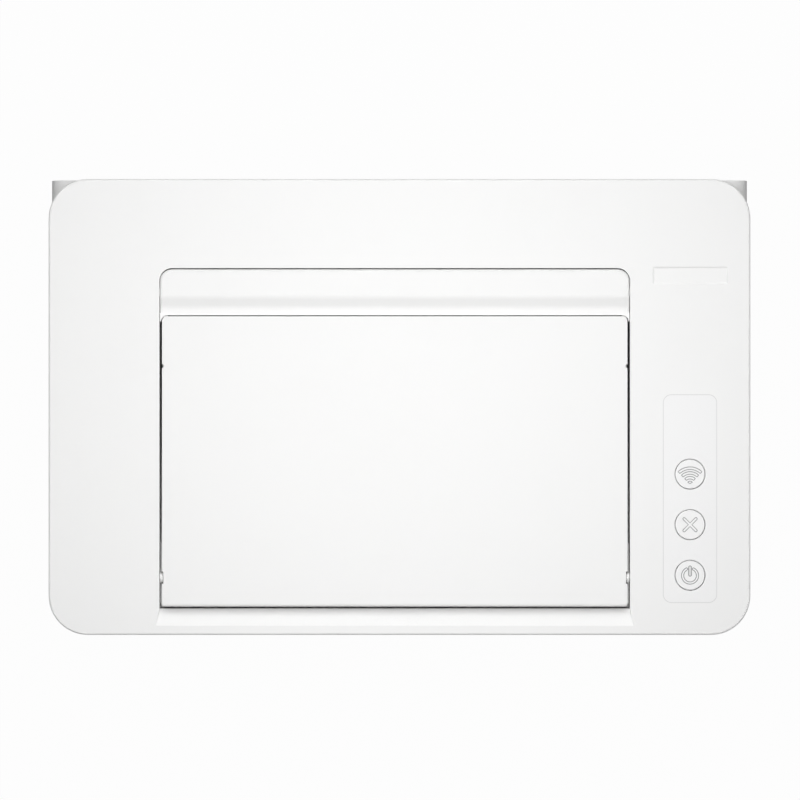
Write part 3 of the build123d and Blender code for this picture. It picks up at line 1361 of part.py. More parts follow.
# Laser scanner: a case on four legs, with a window towards the drum
scanner_half = frame_half - scanner_margin
scanner_low = drum[1] - scanner_drop
scanner_high = drum[1] + scanner_rise
mirror_y = scanner_y[0] + mirror_inset
mirror_z = scanner_high - mirror_drop
window_z = (mirror_z - scanner_wall / 2, mirror_z + mirror_thickness)
scanner_x = (path_x - scanner_half, path_x + scanner_half)
with BuildPart() as scanner_case:
    block(scanner_x, scanner_y, (scanner_low, scanner_high))
    inside_x = (scanner_x[0] + scanner_wall, scanner_x[1] - scanner_wall)
    inside_y = (scanner_y[0] + scanner_wall, scanner_y[1] - scanner_wall)
    block(inside_x, inside_y, (scanner_low + scanner_wall, scanner_high + overcut), mode=Mode.SUBTRACT)
    window_x = (scanner_x[0] + window_inset, scanner_x[1] - window_inset)
    block(window_x, (scanner_y[1] - scanner_wall, scanner_y[1]), window_z, mode=Mode.SUBTRACT)
    for x in (scanner_x[0] + leg_inset, scanner_x[1] - leg_inset):
        for y in (scanner_y[0] + leg_inset, scanner_y[1] - leg_inset):
            post(x, y, (deck_top, scanner_low), leg_radius)
    post(path_x, mirror_y, (scanner_low + scanner_wall / 2, mirror_z - face_gap), mirror_post_radius)
    mirror_bore = (mirror_z - mirror_shaft_length - overcut, mirror_z)
    post(path_x, mirror_y, mirror_bore, mirror_shaft + pin_clearance, mode=Mode.SUBTRACT)
save(scanner_case, "scanner_case")

with BuildPart() as scanner_lid:
    block(scanner_x, scanner_y, (scanner_high, scanner_high + scanner_wall))
save(scanner_lid, "scanner_lid")

with BuildPart() as polygon_mirror:
    with BuildSketch(Plane.XY.offset(mirror_z)):
        with Locations((path_x, mirror_y)):
            RegularPolygon(mirror_radius, 6)
    extrude(amount=mirror_thickness)
    post(path_x, mirror_y, (mirror_z - mirror_shaft_length, mirror_z), mirror_shaft)
save(polygon_mirror, "polygon_mirror")

lens_y = scanner_y[1] - lens_inset
lens_front = lens_y - lens_thickness
lens_x = (path_x - lens_half, path_x + lens_half)
with BuildPart() as scan_lens:
    with BuildSketch(Plane.XY.offset(scanner_low + scanner_wall)):
        with BuildLine():
            ThreePointArc((lens_x[0], lens_y), (path_x, lens_y + lens_bulge), (lens_x[1], lens_y))
            Line((lens_x[1], lens_y), (lens_x[1], lens_front))
            Line((lens_x[1], lens_front), (lens_x[0], lens_front))
            Line((lens_x[0], lens_front), (lens_x[0], lens_y))
        make_face()
    extrude(amount=mirror_z + mirror_thickness - scanner_low - scanner_wall)
save(scan_lens, "scan_lens")

# Boards on the left frame. Each part on a board is at a share of the board's length and height.
main_board_parts = [                 # share along Y, share along Z, length, height, thickness
    (0.36, 0.468, 22.0, 22.0, 2.5),
    (0.627, 0.596, 14.0, 9.0, 2.0),
    (0.627, 0.426, 14.0, 9.0, 2.0),
    (0.257, 0.84, 30.0, 6.0, 8.0),
    (0.771, 0.84, 18.0, 6.0, 8.0),
    (0.154, 0.149, 10.0, 10.0, 9.0),
]
power_board_parts = [                # share along Y, length, height, thickness
    (0.375, transformer_length, transformer_height, transformer_height),
    (0.849, choke_size, choke_size, choke_size),
]
capacitor_spots = (0.092, 0.592, 0.711)
capacitor_radius = 8.0
capacitor_length = 24.0
socket_x = (usb_right - usb_width, usb_right)
socket_z = (usb_z - usb_height / 2, usb_z + usb_height / 2)
socket_middle = (socket_x[0] + socket_x[1]) / 2
with BuildPart() as main_board:
    block(board_x, main_board_y, main_board_z)
    for along_y, along_z, length, tall, thick in main_board_parts:
        y = share(main_board_y, along_y)
        z = share(main_board_z, along_z)
        part_y = (y - length / 2, y + length / 2)
        block((board_x[0] - thick, board_x[0]), part_y, (z - tall / 2, z + tall / 2))
    block(socket_x, (body_rear - usb_depth, body_rear - usb_start), socket_z)
    cavity_x = (socket_x[0] + usb_rim, socket_x[1] - usb_rim)
    cavity_z = (socket_z[0] + usb_rim, socket_z[1] - usb_rim)
    block(cavity_x, (body_rear - usb_cavity, body_rear), cavity_z, mode=Mode.SUBTRACT)
    tongue_x = (socket_middle - tongue_half, socket_middle + tongue_half)
    tongue_y = (body_rear - usb_cavity - overcut, body_rear - tongue_start)
    block(tongue_x, tongue_y, (usb_z - tongue_rise, usb_z + tongue_rise))
save(main_board, "main_board")

with BuildPart() as power_board:
    block(board_x, power_board_y, power_board_z)
    middle_z = (power_board_z[0] + power_board_z[1]) / 2
    for along_y, length, tall, thick in power_board_parts:
        y = share(power_board_y, along_y)
        part_z = (middle_z - tall / 2, middle_z + tall / 2)
        block((board_x[0] - thick, board_x[0]), (y - length / 2, y + length / 2), part_z)
    for along_y in capacitor_spots:
        capacitor = (share(power_board_y, along_y), middle_z)
        bar((board_x[0] - capacitor_length, board_x[0]), capacitor, capacitor_radius)
save(power_board, "power_board")

inlet_x_span = (inlet_x - inlet_width / 2, inlet_x + inlet_width / 2)
inlet_z_span = (inlet_z - inlet_height / 2, inlet_z + inlet_height / 2)
inlet_blades = ((-blade_spread, -blade_rise), (0.0, blade_rise), (blade_spread, -blade_rise))
with BuildPart() as power_inlet:
    block(inlet_x_span, (body_rear - inlet_depth, body_rear), inlet_z_span)
    cavity_x = (inlet_x_span[0] + inlet_rim, inlet_x_span[1] - inlet_rim)
    cavity_z = (inlet_z_span[0] + inlet_rim, inlet_z_span[1] - inlet_rim)
    block(cavity_x, (body_rear - inlet_cavity, body_rear), cavity_z, mode=Mode.SUBTRACT)
    blade_y = (body_rear - inlet_cavity - overcut, body_rear - blade_start)
    for x, z in inlet_blades:
        blade_x = (inlet_x + x - blade_half, inlet_x + x + blade_half)
        block(blade_x, blade_y, (inlet_z + z - blade_rise, inlet_z + z + blade_rise))
save(power_inlet, "power_inlet")

# Fan inside the left cover
fan_left = -body_half + wall
fan_right = fan_left + fan_depth
fan_axis = (fan_y, fan_z)
fan_half = fan_size / 2
fan_reach = fan_bore + overcut
fan_blade_radius = fan_bore - fan_blade_gap
with BuildPart() as fan_frame:
    block((fan_left, fan_right), (fan_y - fan_half, fan_y + fan_half), (fan_z - fan_half, fan_z + fan_half))
    bar((fan_left, fan_right), fan_axis, fan_bore, mode=Mode.SUBTRACT)
    spider = (fan_right - fan_hub_wall, fan_right)
    bar(spider, fan_axis, fan_hub)
    spoke = fan_spoke / 2
    block(spider, (fan_y - fan_reach, fan_y + fan_reach), (fan_z - spoke, fan_z + spoke))
    block(spider, (fan_y - spoke, fan_y + spoke), (fan_z - fan_reach, fan_z + fan_reach))
    bar((fan_left + fan_pin_start, fan_right), fan_axis, fan_pin)
save(fan_frame, "fan_frame")

blade_length = fan_blade_radius - fan_hub + overcut
with BuildPart() as fan_rotor:
    rotor_x = (fan_left + overcut, fan_right - fan_hub_wall - fan_gap)
    bar(rotor_x, fan_axis, fan_hub)
    with Locations(Plane.YZ.offset((rotor_x[0] + rotor_x[1]) / 2).location):
        with Locations(fan_axis):
            with PolarLocations(fan_hub - overcut + blade_length / 2, fan_blades):
                Box(blade_length, fan_blade_thickness, fan_blade_chord, rotation=(40, 0, 0))
    bar((fan_left + 2 * overcut, fan_right), fan_axis, fan_pin + pin_clearance, mode=Mode.SUBTRACT)
save(fan_rotor, "fan_rotor")

with BuildPart() as cover_screws:
    for x, z in screw_spots:
        bar_y(x, (body_rear - screw_length, screw_seat), z, screw_radius)
        bar_y(x, (screw_seat, screw_seat + screw_head_height), z, screw_head)
        slot_y = (screw_seat + screw_head_height / 2, screw_seat + screw_head_height)
        for across, tall in ((screw_cross / 2, screw_slot / 2), (screw_slot / 2, screw_cross / 2)):
            block((x - across, x + across), slot_y, (z - tall, z + tall), mode=Mode.SUBTRACT)
save(cover_screws, "cover_screws")
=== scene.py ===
"""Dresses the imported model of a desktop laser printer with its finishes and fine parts.

Every length in this file is in millimetres, and is turned into metres when a mesh is made.
"""

from __future__ import annotations

import json
import logging
import math
import random
from dataclasses import dataclass, field
from enum import Enum
from typing import Sequence

import bmesh
import bpy
from bpy.types import Material, Node, NodeSocket, NodeTree, Object, Scene
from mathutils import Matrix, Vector


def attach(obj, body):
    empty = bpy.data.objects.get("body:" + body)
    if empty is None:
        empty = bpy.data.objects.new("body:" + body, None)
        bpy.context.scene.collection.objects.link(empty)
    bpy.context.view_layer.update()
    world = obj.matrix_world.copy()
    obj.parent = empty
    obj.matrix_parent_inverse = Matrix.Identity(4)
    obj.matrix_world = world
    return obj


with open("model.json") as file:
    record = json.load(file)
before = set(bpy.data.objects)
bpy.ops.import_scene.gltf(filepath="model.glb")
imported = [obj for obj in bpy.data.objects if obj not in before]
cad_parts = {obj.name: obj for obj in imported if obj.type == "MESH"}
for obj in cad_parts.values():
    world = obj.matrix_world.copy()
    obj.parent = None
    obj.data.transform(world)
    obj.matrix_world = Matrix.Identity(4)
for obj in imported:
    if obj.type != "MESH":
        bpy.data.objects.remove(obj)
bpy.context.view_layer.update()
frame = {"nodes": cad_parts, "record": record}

log = logging.getLogger("laser_printer")

MM = 0.001
PATH_X = -2.25  # middle of the paper path
TOP = 178.0  # upper side of the top frame
UPRIGHT = 90.0  # degrees from +X to +Y
SMOOTH_ANGLE = math.radians(35)
Point = tuple[float, float]
Span = tuple[float, float]
Triple = tuple[float, float, float]


class Body(str, Enum):
    """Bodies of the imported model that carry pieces."""

    PRINTER = "printer"
    BIN_DOOR = "bin_door"
    FLAP = "paper_flap"
    WIRELESS = "wireless_key"
    CANCEL = "cancel_key"
    POWER = "power_key"
    FRONT_DOOR = "front_door"
    SUPPORT = "paper_support"
    GUIDE_LEFT = "guide_left"
    GUIDE_RIGHT = "guide_right"
    LIFT = "lift"
    BACK_DOOR = "back_door"
    PICKUP = "pickup"
    FAN = "fan"
    MAIN_GEAR = "gear_main"
    DRUM = "drum"
    HEATER = "heater"
    FEED = "feed"


class Axis(Enum):
    """Axis that a profile is carried or turned along, with the order of its coordinates."""

    X = 0
    Y = 1
    Z = 2

    def place(self, across: float, up: float, along: float) -> Vector:
        """Returns the point whose profile coordinates are (across, up) at a distance along the axis."""
        order = {Axis.X: (along, across, up), Axis.Y: (across, along, up), Axis.Z: (across, up, along)}
        return Vector(order[self])


# Shader node groups


Term = NodeSocket | float  # what a math node takes


@dataclass(frozen=True)
class Socket:
    """A named input or output of a shader node group.

    Args:
        name: name of the socket.
        kind: its Blender type.
        value: its value, or None for the type's own.
    """

    name: str
    kind: str = "NodeSocketFloat"
    value: float | None = None


class NodeGroup:
    """A shader node group under construction."""

    def __init__(self, name: str, inputs: Sequence[Socket], outputs: Sequence[Socket]) -> None:
        """Makes the group with its sockets.

        Args:
            name: name of the group.
            inputs: its input sockets, with their values.
            outputs: its output sockets.
        """
        self.tree = bpy.data.node_groups.new(name, "ShaderNodeTree")
        for socket in inputs:
            made = self.tree.interface.new_socket(socket.name, in_out="INPUT", socket_type=socket.kind)
            if socket.value is not None:
                made.default_value = socket.value
        for socket in outputs:
            self.tree.interface.new_socket(socket.name, in_out="OUTPUT", socket_type=socket.kind)
        self.source = self.tree.nodes.new("NodeGroupInput")
        self.target = self.tree.nodes.new("NodeGroupOutput")

    def value(self, name: str) -> NodeSocket:
        """Returns the inner socket of an input."""
        return self.source.outputs[name]

    def put(self, socket: NodeSocket, name: str) -> None:
        """Joins an inner socket to an output."""
        self.tree.links.new(socket, self.target.inputs[name])


def add_node(tree: NodeTree, kind: str, inputs: dict | None = None, **settings: object) -> Node:
    """Adds a node, sets its fields and fills or joins its inputs.

    Args:
        tree: the node tree.
        kind: the node's type name.
        inputs: values or sockets, by input name or index.
        settings: fields of the node.

    Returns:
        The new node.
    """
    made = tree.nodes.new(kind)
    for name, value in settings.items():
        setattr(made, name, value)
    for name, value in (inputs or {}).items():
        socket = made.inputs[name]
        if isinstance(value, NodeSocket):
            tree.links.new(value, socket)
        else:
            socket.default_value = value
    return made


def stretched(tree: NodeTree, scale: Sequence[float]) -> NodeSocket:
    """Returns object coordinates in metres, each multiplied by its scale.

    Args:
        tree: the node tree.
        scale: factor along X, Y and Z.

    Returns:
        The coordinates.
    """
    place = tree.nodes.new("ShaderNodeTexCoord")
    mapping = add_node(tree, "ShaderNodeMapping", {"Vector": place.outputs["Object"], "Scale": tuple(scale)})
    return mapping.outputs["Vector"]


def noise(tree: NodeTree, vector: NodeSocket, scale: float = 1.0, detail: float = 2.0,
          rough: float = 0.5) -> NodeSocket:
    """Returns the value of a noise texture.

    Args:
        tree: the node tree.
        vector: coordinates of the texture.
        scale: how often it repeats in a unit.
        detail: number of finer layers.
        rough: share of the finer layers.

    Returns:
        The texture's value.
    """
    made = add_node(tree, "ShaderNodeTexNoise",
                    {"Vector": vector, "Scale": scale, "Detail": detail, "Roughness": rough})
    return made.outputs["Fac"]


def math_node(tree: NodeTree, operation: str, first: Term, second: Term, third: Term | None = None,
              clamp: bool = False) -> NodeSocket:
    """Returns the result of a math node on values or sockets.

    Args:
        tree: the node tree.
        operation: name of the operation.
        first: first value or socket.
        second: second value or socket.
        third: third value or socket, where it takes one.
        clamp: whether the result stays between 0 and 1.

    Returns:
        The result.
    """
    values = {0: first, 1: second}
    if third is not None:
        values[2] = third
    return add_node(tree, "ShaderNodeMath", values, operation=operation, use_clamp=clamp).outputs[0]


def remap(tree: NodeTree, value: NodeSocket, source: Span, target: Span) -> NodeSocket:
    """Returns a value carried from one range to another, and kept inside it.

    Args:
        tree: the node tree.
        value: the value.
        source: range that it comes from.
        target: range that it goes to.

    Returns:
        The new value.
    """
    made = add_node(tree, "ShaderNodeMapRange", {
        "Value": value, "From Min": source[0], "From Max": source[1],
        "To Min": target[0], "To Max": target[1]})
    return made.outputs["Result"]


def moulded_grain() -> NodeTree:
    """Builds the spark-eroded grain of moulded plastic: fine pits over slow flow marks.

    Returns:
        The node group's tree.
    """
    group = NodeGroup("Moulded grain", [Socket("Pitch", value=2600.0), Socket("Flow", value=0.3)],
                      [Socket("Height"), Socket("Tone"), Socket("Gloss")])
    tree = group.tree
    place = stretched(tree, (1, 1, 1))
    fine = add_node(tree, "ShaderNodeTexVoronoi", {"Vector": place, "Scale": group.value("Pitch")},
                    feature="SMOOTH_F1")
    soft = add_node(tree, "ShaderNodeTexNoise", {"Vector": place, "Scale": 900.0, "Detail": 3.0})
    grain = math_node(tree, "MULTIPLY", fine.outputs["Distance"], soft.outputs["Fac"])
    flow = noise(tree, stretched(tree, (7, 3, 7)), detail=3.0, rough=0.55)
    centred = math_node(tree, "SUBTRACT", flow, 0.5)
    tone = math_node(tree, "MULTIPLY_ADD", centred, group.value("Flow"), 0.5)
    gloss = math_node(tree, "MULTIPLY_ADD", fine.outputs["Distance"], 0.35, tone)
    group.put(grain, "Height")
    group.put(tone, "Tone")
    group.put(gloss, "Gloss")
    return tree


def handling_marks() -> NodeTree:
    """Builds faint rub marks and dust: a mask of broad patches broken by fine hairlines.

    Returns:
        The node group's tree.
    """
    group = NodeGroup("Handling marks", [Socket("Amount", value=0.3)], [Socket("Mask"), Socket("Scratch")])
    tree = group.tree
    place = stretched(tree, (1, 1, 1))
    patch = remap(tree, noise(tree, place, scale=26.0, detail=5.0, rough=0.62), (0.5, 0.75), (0.0, 1.0))
    speck = remap(tree, noise(tree, place, scale=900.0, detail=1.0), (0.62, 0.75), (0.0, 0.35))
    both = math_node(tree, "ADD", patch, speck, clamp=True)
    hair = noise(tree, stretched(tree, (30, 900, 400)))
    group.put(math_node(tree, "MULTIPLY", both, group.value("Amount")), "Mask")
    group.put(remap(tree, hair, (0.66, 0.72), (0.0, 1.0)), "Scratch")
    return tree


def drawn_lines() -> NodeTree:
    """Builds the turned or drawn lines of bare metal, which run round a part that lies along X.

    Returns:
        The node group's tree.
    """
    group = NodeGroup("Drawn lines", [Socket("Depth", value=1.0)], [Socket("Height"), Socket("Streak")])
    tree = group.tree
    fine = noise(tree, stretched(tree, (5200, 60, 60)))
    broad = noise(tree, stretched(tree, (300, 12, 12)), detail=3.0)
    group.put(math_node(tree, "MULTIPLY", fine, group.value("Depth")), "Height")
    group.put(math_node(tree, "MULTIPLY_ADD", fine, 0.5, math_node(tree, "MULTIPLY", broad, 0.5)), "Streak")
    return tree


def zinc_sheet() -> NodeTree:
    """Builds the spangle of zinc coated sheet: crystals of slightly different tone.

    Returns:
        The node group's tree.
    """
    group = NodeGroup("Zinc sheet", [Socket("Size", value=240.0)], [Socket("Tone"), Socket("Height")])
    tree = group.tree
    place = stretched(tree, (1, 1, 1))
    bent = add_node(tree, "ShaderNodeTexNoise", {"Vector": place, "Scale": 300.0, "Detail": 2.0})
    moved = add_node(tree, "ShaderNodeMix", {0: 0.012, 4: place, 5: bent.outputs["Color"]},
                     data_type="VECTOR").outputs[1]
    cells = add_node(tree, "ShaderNodeTexVoronoi", {"Vector": moved, "Scale": group.value("Size")})
    shade = add_node(tree, "ShaderNodeSeparateColor", {0: cells.outputs["Color"]}).outputs[0]
    group.put(shade, "Tone")
    group.put(noise(tree, place, scale=1500.0, detail=3.0), "Height")
    return tree


def circuit_tracks() -> NodeTree:
    """Builds the look of a lacquered board: copper tracks under the lacquer, and tinned holes.

    Returns:
        The node group's tree.
    """
    group = NodeGroup("Circuit tracks", [Socket("Pitch", value=420.0)],
                      [Socket("Track"), Socket("Hole"), Socket("Height")])
    tree = group.tree
    place = stretched(tree, (1, 1, 1))
    steps = add_node(tree, "ShaderNodeTexVoronoi", {"Vector": place, "Scale": 95.0}, distance="MANHATTAN",
                     feature="F1")
    ramp = math_node(tree, "PINGPONG", math_node(tree, "MULTIPLY", steps.outputs["Distance"], 9.0), 0.5)
    track = remap(tree, ramp, (0.22, 0.3), (0.0, 1.0))
    dots = add_node(tree, "ShaderNodeTexVoronoi", {"Vector": place, "Scale": group.value("Pitch"),
                                                  "Randomness": 0.35})
    hole = remap(tree, dots.outputs["Distance"], (0.14, 0.2), (1.0, 0.0))
    group.put(track, "Track")
    group.put(hole, "Hole")
    group.put(math_node(tree, "MULTIPLY_ADD", hole, 0.6, math_node(tree, "MULTIPLY", track, 0.4)), "Height")
    return tree


class Effects:
    """The shared node groups, each built once."""

    def __init__(self) -> None:
        """Builds every group."""
        self.grain = moulded_grain()
        self.marks = handling_marks()
        self.lines = drawn_lines()
        self.zinc = zinc_sheet()
        self.tracks = circuit_tracks()

    def place(self, tree: NodeTree, group: NodeTree, **values: float) -> Node:
        """Adds a group to a material and sets its inputs by name.

        Args:
            tree: the node tree.
            group: the group.
            values: values of its inputs.

        Returns:
            The group's node.
        """
        made = add_node(tree, "ShaderNodeGroup", node_tree=group)
        for name, value in values.items():
            made.inputs[name].default_value = value
        return made


# Finishes


@dataclass(frozen=True)
class Finish:
    """A finish that is the same kind of stuff all through.

    Args:
        name: name of the material.
        colour: its colour, in linear light.
        rough: its roughness.
        spread: how far the roughness moves with the texture.
        tone: how far the colour moves with the texture.
        bump: depth of the texture in millimetres.
        worn: share of rub marks and dust.
        worn_colour: colour of those marks.
    """

    name: str
    colour: Triple
    rough: float = 0.5
    spread: float = 0.08
    tone: float = 0.03
    bump: float = 0.02
    worn: float = 0.1
    worn_colour: Triple = (0.6, 0.59, 0.56)

    def shader(self, tree: NodeTree) -> Node:
        """Returns the principled shader joined to the material's output.

        Args:
            tree: the node tree.

        Returns:
            The shader's node.
        """
        tree.nodes.clear()
        surface = tree.nodes.new("ShaderNodeBsdfPrincipled")
        output = tree.nodes.new("ShaderNodeOutputMaterial")
        tree.links.new(surface.outputs["BSDF"], output.inputs["Surface"])
        return surface

    def tinted(self, tree: NodeTree, tone: NodeSocket) -> NodeSocket:
        """Returns the colour, a little darker or lighter with the tone.

        Args:
            tree: the node tree.
            tone: how light it is, from 0 to 1.

        Returns:
            The colour.
        """
        dark = tuple(c * (1 - self.tone) for c in self.colour) + (1.0,)
        light = tuple(min(1.0, c * (1 + self.tone)) for c in self.colour) + (1.0,)
        made = add_node(tree, "ShaderNodeMix", {0: tone, 6: dark, 7: light}, data_type="RGBA")
        return made.outputs[2]

    def marked(self, effects: Effects, tree: NodeTree, colour: NodeSocket) -> NodeSocket:
        """Returns the colour with its rub marks over it.

        Args:
            effects: the shared node groups.
            tree: the node tree.
            colour: the colour under the marks.

        Returns:
            The colour.
        """
        marks = effects.place(tree, effects.marks, Amount=self.worn)
        made = add_node(tree, "ShaderNodeMix", {0: marks.outputs["Mask"], 6: colour,
                                                7: self.worn_colour + (1.0,)}, data_type="RGBA")
        return made.outputs[2]

    def relief(self, tree: NodeTree, height: NodeSocket) -> NodeSocket:
        """Returns the normal that the texture's height gives.

        Args:
            tree: the node tree.
            height: height of the texture.

        Returns:
            The normal.
        """
        made = add_node(tree, "ShaderNodeBump",
                        {"Height": height, "Distance": self.bump * MM, "Strength": 0.8})
        return made.outputs["Normal"]

    def rough_span(self) -> Span:
        """Returns the range of the roughness."""
        return (self.rough - self.spread, self.rough + self.spread)

    def textured(self, effects: Effects, tree: NodeTree, surface: Node,
                 texture: Node, tone: str, gloss: str, limits: Span) -> None:
        """Joins the tone, gloss and height of a texture to the shader.

        Args:
            effects: the shared node groups.
            tree: the node tree.
            surface: the principled shader.
            texture: the texture's node.
            tone: its output for the colour.
            gloss: its output for the roughness.
            limits: range of that output.
        """
        colour = self.marked(effects, tree, self.tinted(tree, texture.outputs[tone]))
        rough = remap(tree, texture.outputs[gloss], limits, self.rough_span())
        tree.links.new(colour, surface.inputs["Base Color"])
        tree.links.new(rough, surface.inputs["Roughness"])
        tree.links.new(self.relief(tree, texture.outputs["Height"]), surface.inputs["Normal"])

    def build(self, effects: Effects) -> Material:
        """Builds the material: moulded plastic, unless a kind of finish says otherwise.

        Args:
            effects: the shared node groups.

        Returns:
            The material.
        """
        material = bpy.data.materials.new(self.name)
        material.use_nodes = True
        tree = material.node_tree
        surface = self.shader(tree)
        self.dress(effects, tree, surface)
        material.diffuse_color = self.colour + (1.0,)
        return material

    def dress(self, effects: Effects, tree: NodeTree, surface: Node) -> None:
        """Joins the grain of moulded plastic to the shader."""
        grain = effects.place(tree, effects.grain)
        self.textured(effects, tree, surface, grain, "Tone", "Gloss", (0.3, 0.9))


@dataclass(frozen=True)
class Metal(Finish):
    """Bare metal with drawn or turned lines."""

    def dress(self, effects: Effects, tree: NodeTree, surface: Node) -> None:
        """Joins the drawn lines to a metal shader.

        Args:
            effects: the shared node groups.
            tree: the node tree.
            surface: the principled shader.
        """
        surface.inputs["Metallic"].default_value = 1.0
        lines = effects.place(tree, effects.lines)
        self.textured(effects, tree, surface, lines, "Streak", "Streak", (0.3, 0.7))


@dataclass(frozen=True)
class ZincSheet(Finish):
    """Zinc coated sheet steel with its spangle."""

    def dress(self, effects: Effects, tree: NodeTree, surface: Node) -> None:
        """Joins the spangle to a metal shader.

        Args:
            effects: the shared node groups.
            tree: the node tree.
            surface: the principled shader.
        """
        surface.inputs["Metallic"].default_value = 0.9
        zinc = effects.place(tree, effects.zinc)
        self.textured(effects, tree, surface, zinc, "Tone", "Tone", (0.0, 1.0))


@dataclass(frozen=True)
class Coated(Finish):
    """A smooth coating over metal, as on the drum and the heated roller.

    Args:
        coat: weight of the clear coat.
    """

    coat: float = 0.6

    def dress(self, effects: Effects, tree: NodeTree, surface: Node) -> None:
        """Joins faint turned lines and a clear coat to the shader.

        Args:
            effects: the shared node groups.
            tree: the node tree.
            surface: the principled shader.
        """
        surface.inputs["Metallic"].default_value = 0.35
        surface.inputs["Coat Weight"].default_value = self.coat
        surface.inputs["Coat Roughness"].default_value = 0.08
        lines = effects.place(tree, effects.lines, Depth=0.3)
        self.textured(effects, tree, surface, lines, "Streak", "Streak", (0.3, 0.7))


@dataclass(frozen=True)
class Glass(Finish):
    """Clear glass or clear plastic."""

    def dress(self, effects: Effects, tree: NodeTree, surface: Node) -> None:
        """Joins faint haze to a glass shader.

        Args:
            effects: the shared node groups.
            tree: the node tree.
            surface: the principled shader.
        """
        grain = effects.place(tree, effects.grain, Flow=0.2)
        surface.inputs["Transmission Weight"].default_value = 0.85
        surface.inputs["IOR"].default_value = 1.49
        tree.links.new(self.tinted(tree, grain.outputs["Tone"]), surface.inputs["Base Color"])
        rough = remap(tree, grain.outputs["Tone"], (0.3, 0.7), self.rough_span())
        tree.links.new(rough, surface.inputs["Roughness"])


@dataclass(frozen=True)
class Board(Finish):
    """A lacquered circuit board with its tracks and tinned holes.

    Args:
        track_colour: colour of a track under the lacquer.
        hole_colour: colour of a tinned hole.
        hole_rough: its roughness.
    """

    track_colour: Triple = (0.09, 0.33, 0.17)
    hole_colour: Triple = (0.62, 0.60, 0.55)
    hole_rough: float = 0.25

    def dress(self, effects: Effects, tree: NodeTree, surface: Node) -> None:
        """Joins the tracks and holes to the shader.

        Args:
            effects: the shared node groups.
            tree: the node tree.
            surface: the principled shader.
        """
        board = effects.place(tree, effects.tracks)
        tracked = add_node(tree, "ShaderNodeMix", {0: board.outputs["Track"], 6: self.colour + (1.0,),
                                                   7: self.track_colour + (1.0,)}, data_type="RGBA")
        holed = add_node(tree, "ShaderNodeMix", {0: board.outputs["Hole"], 6: tracked.outputs[2],
                                                 7: self.hole_colour + (1.0,)}, data_type="RGBA")
        surface.inputs["Coat Weight"].default_value = 0.4
        tree.links.new(self.marked(effects, tree, holed.outputs[2]), surface.inputs["Base Color"])
        rough = remap(tree, board.outputs["Hole"], (0, 1), (self.rough, self.hole_rough))
        tree.links.new(rough, surface.inputs["Roughness"])
        tree.links.new(self.relief(tree, board.outputs["Height"]), surface.inputs["Normal"])


WHITE = (0.905, 0.905, 0.900)
# Each finish: name, colour, then rough, spread, tone, bump and worn
FINISHES: dict[str, Finish] = {
    "shell_white": Finish("Body white moulding", WHITE, 0.42, 0.05, 0.012, 0.012, 0.03),
    "button_white": Finish("Key white moulding", (0.90, 0.90, 0.90), 0.34, 0.04, 0.01, 0.006, 0.03),
    "panel_film": Finish("Panel film", (0.90, 0.90, 0.90), 0.36, 0.04, 0.01, 0.004, 0.03),
    "base_grey": Finish("Base grey moulding", (0.58, 0.59, 0.60), 0.55, 0.06, 0.04, 0.03, 0.2),
    "foot_rubber": Finish("Foot rubber", (0.035, 0.035, 0.037), 0.78, 0.08, 0.15, 0.04, 0.25),
    "tray_grey": Finish("Tray grey moulding", (0.075, 0.078, 0.082), 0.52, 0.07, 0.08, 0.03, 0.12),
    "frame_metal": ZincSheet("Zinc coated sheet", (0.60, 0.62, 0.63), 0.42, 0.1, 0.12, 0.01, 0.12),
    "spring_steel": Metal("Spring wire", (0.60, 0.60, 0.61), 0.3, 0.08, 0.1, 0.01, 0.08),
    "screw_steel": Metal("Blackened screw steel", (0.16, 0.16, 0.165), 0.42, 0.08, 0.15, 0.01, 0.1),
    "shaft_steel": Metal("Ground shaft steel", (0.66, 0.66, 0.67), 0.24, 0.06, 0.08, 0.006, 0.05),
    "roller_rubber": Finish("Ground roller rubber", (0.045, 0.045, 0.047), 0.72, 0.06, 0.12, 0.03, 0.25),
    "pressure_rubber": Finish("Silicone roller rubber", (0.42, 0.11, 0.045), 0.5, 0.06, 0.08, 0.02, 0.15),
    "gear_white": Finish("Acetal gear moulding", (0.76, 0.73, 0.64), 0.38, 0.05, 0.03, 0.01, 0.12),
    "cartridge_black": Finish("Cartridge black moulding", (0.018, 0.018, 0.020), 0.46, 0.08, 0.2, 0.03, 0.12),
    "drum_green": Coated("Drum coating", (0.07, 0.30, 0.26), 0.18, 0.04, 0.06, 0.003, 0.03),
    "heat_coating": Coated(
        "Heated roller coating", (0.10, 0.08, 0.07), 0.3, 0.06, 0.1, 0.004, 0.08, coat=0.3),
    "clear_glass": Glass("Clear lens", (0.92, 0.95, 0.96), 0.05, 0.03, 0.01),
    "mirror_metal": Metal("Mirror faces", (0.88, 0.89, 0.90), 0.06, 0.02, 0.01, 0.001, 0.01),
    "scanner_black": Finish(
        "Glass filled black moulding", (0.030, 0.030, 0.033), 0.5, 0.08, 0.2, 0.035, 0.15),
    "board_green": Board("Board lacquer", (0.035, 0.17, 0.075), 0.32, 0.04, 0.05, 0.03, 0.06),
    "motor_metal": Metal("Motor case", (0.50, 0.50, 0.51), 0.34, 0.08, 0.1, 0.008, 0.08),
}
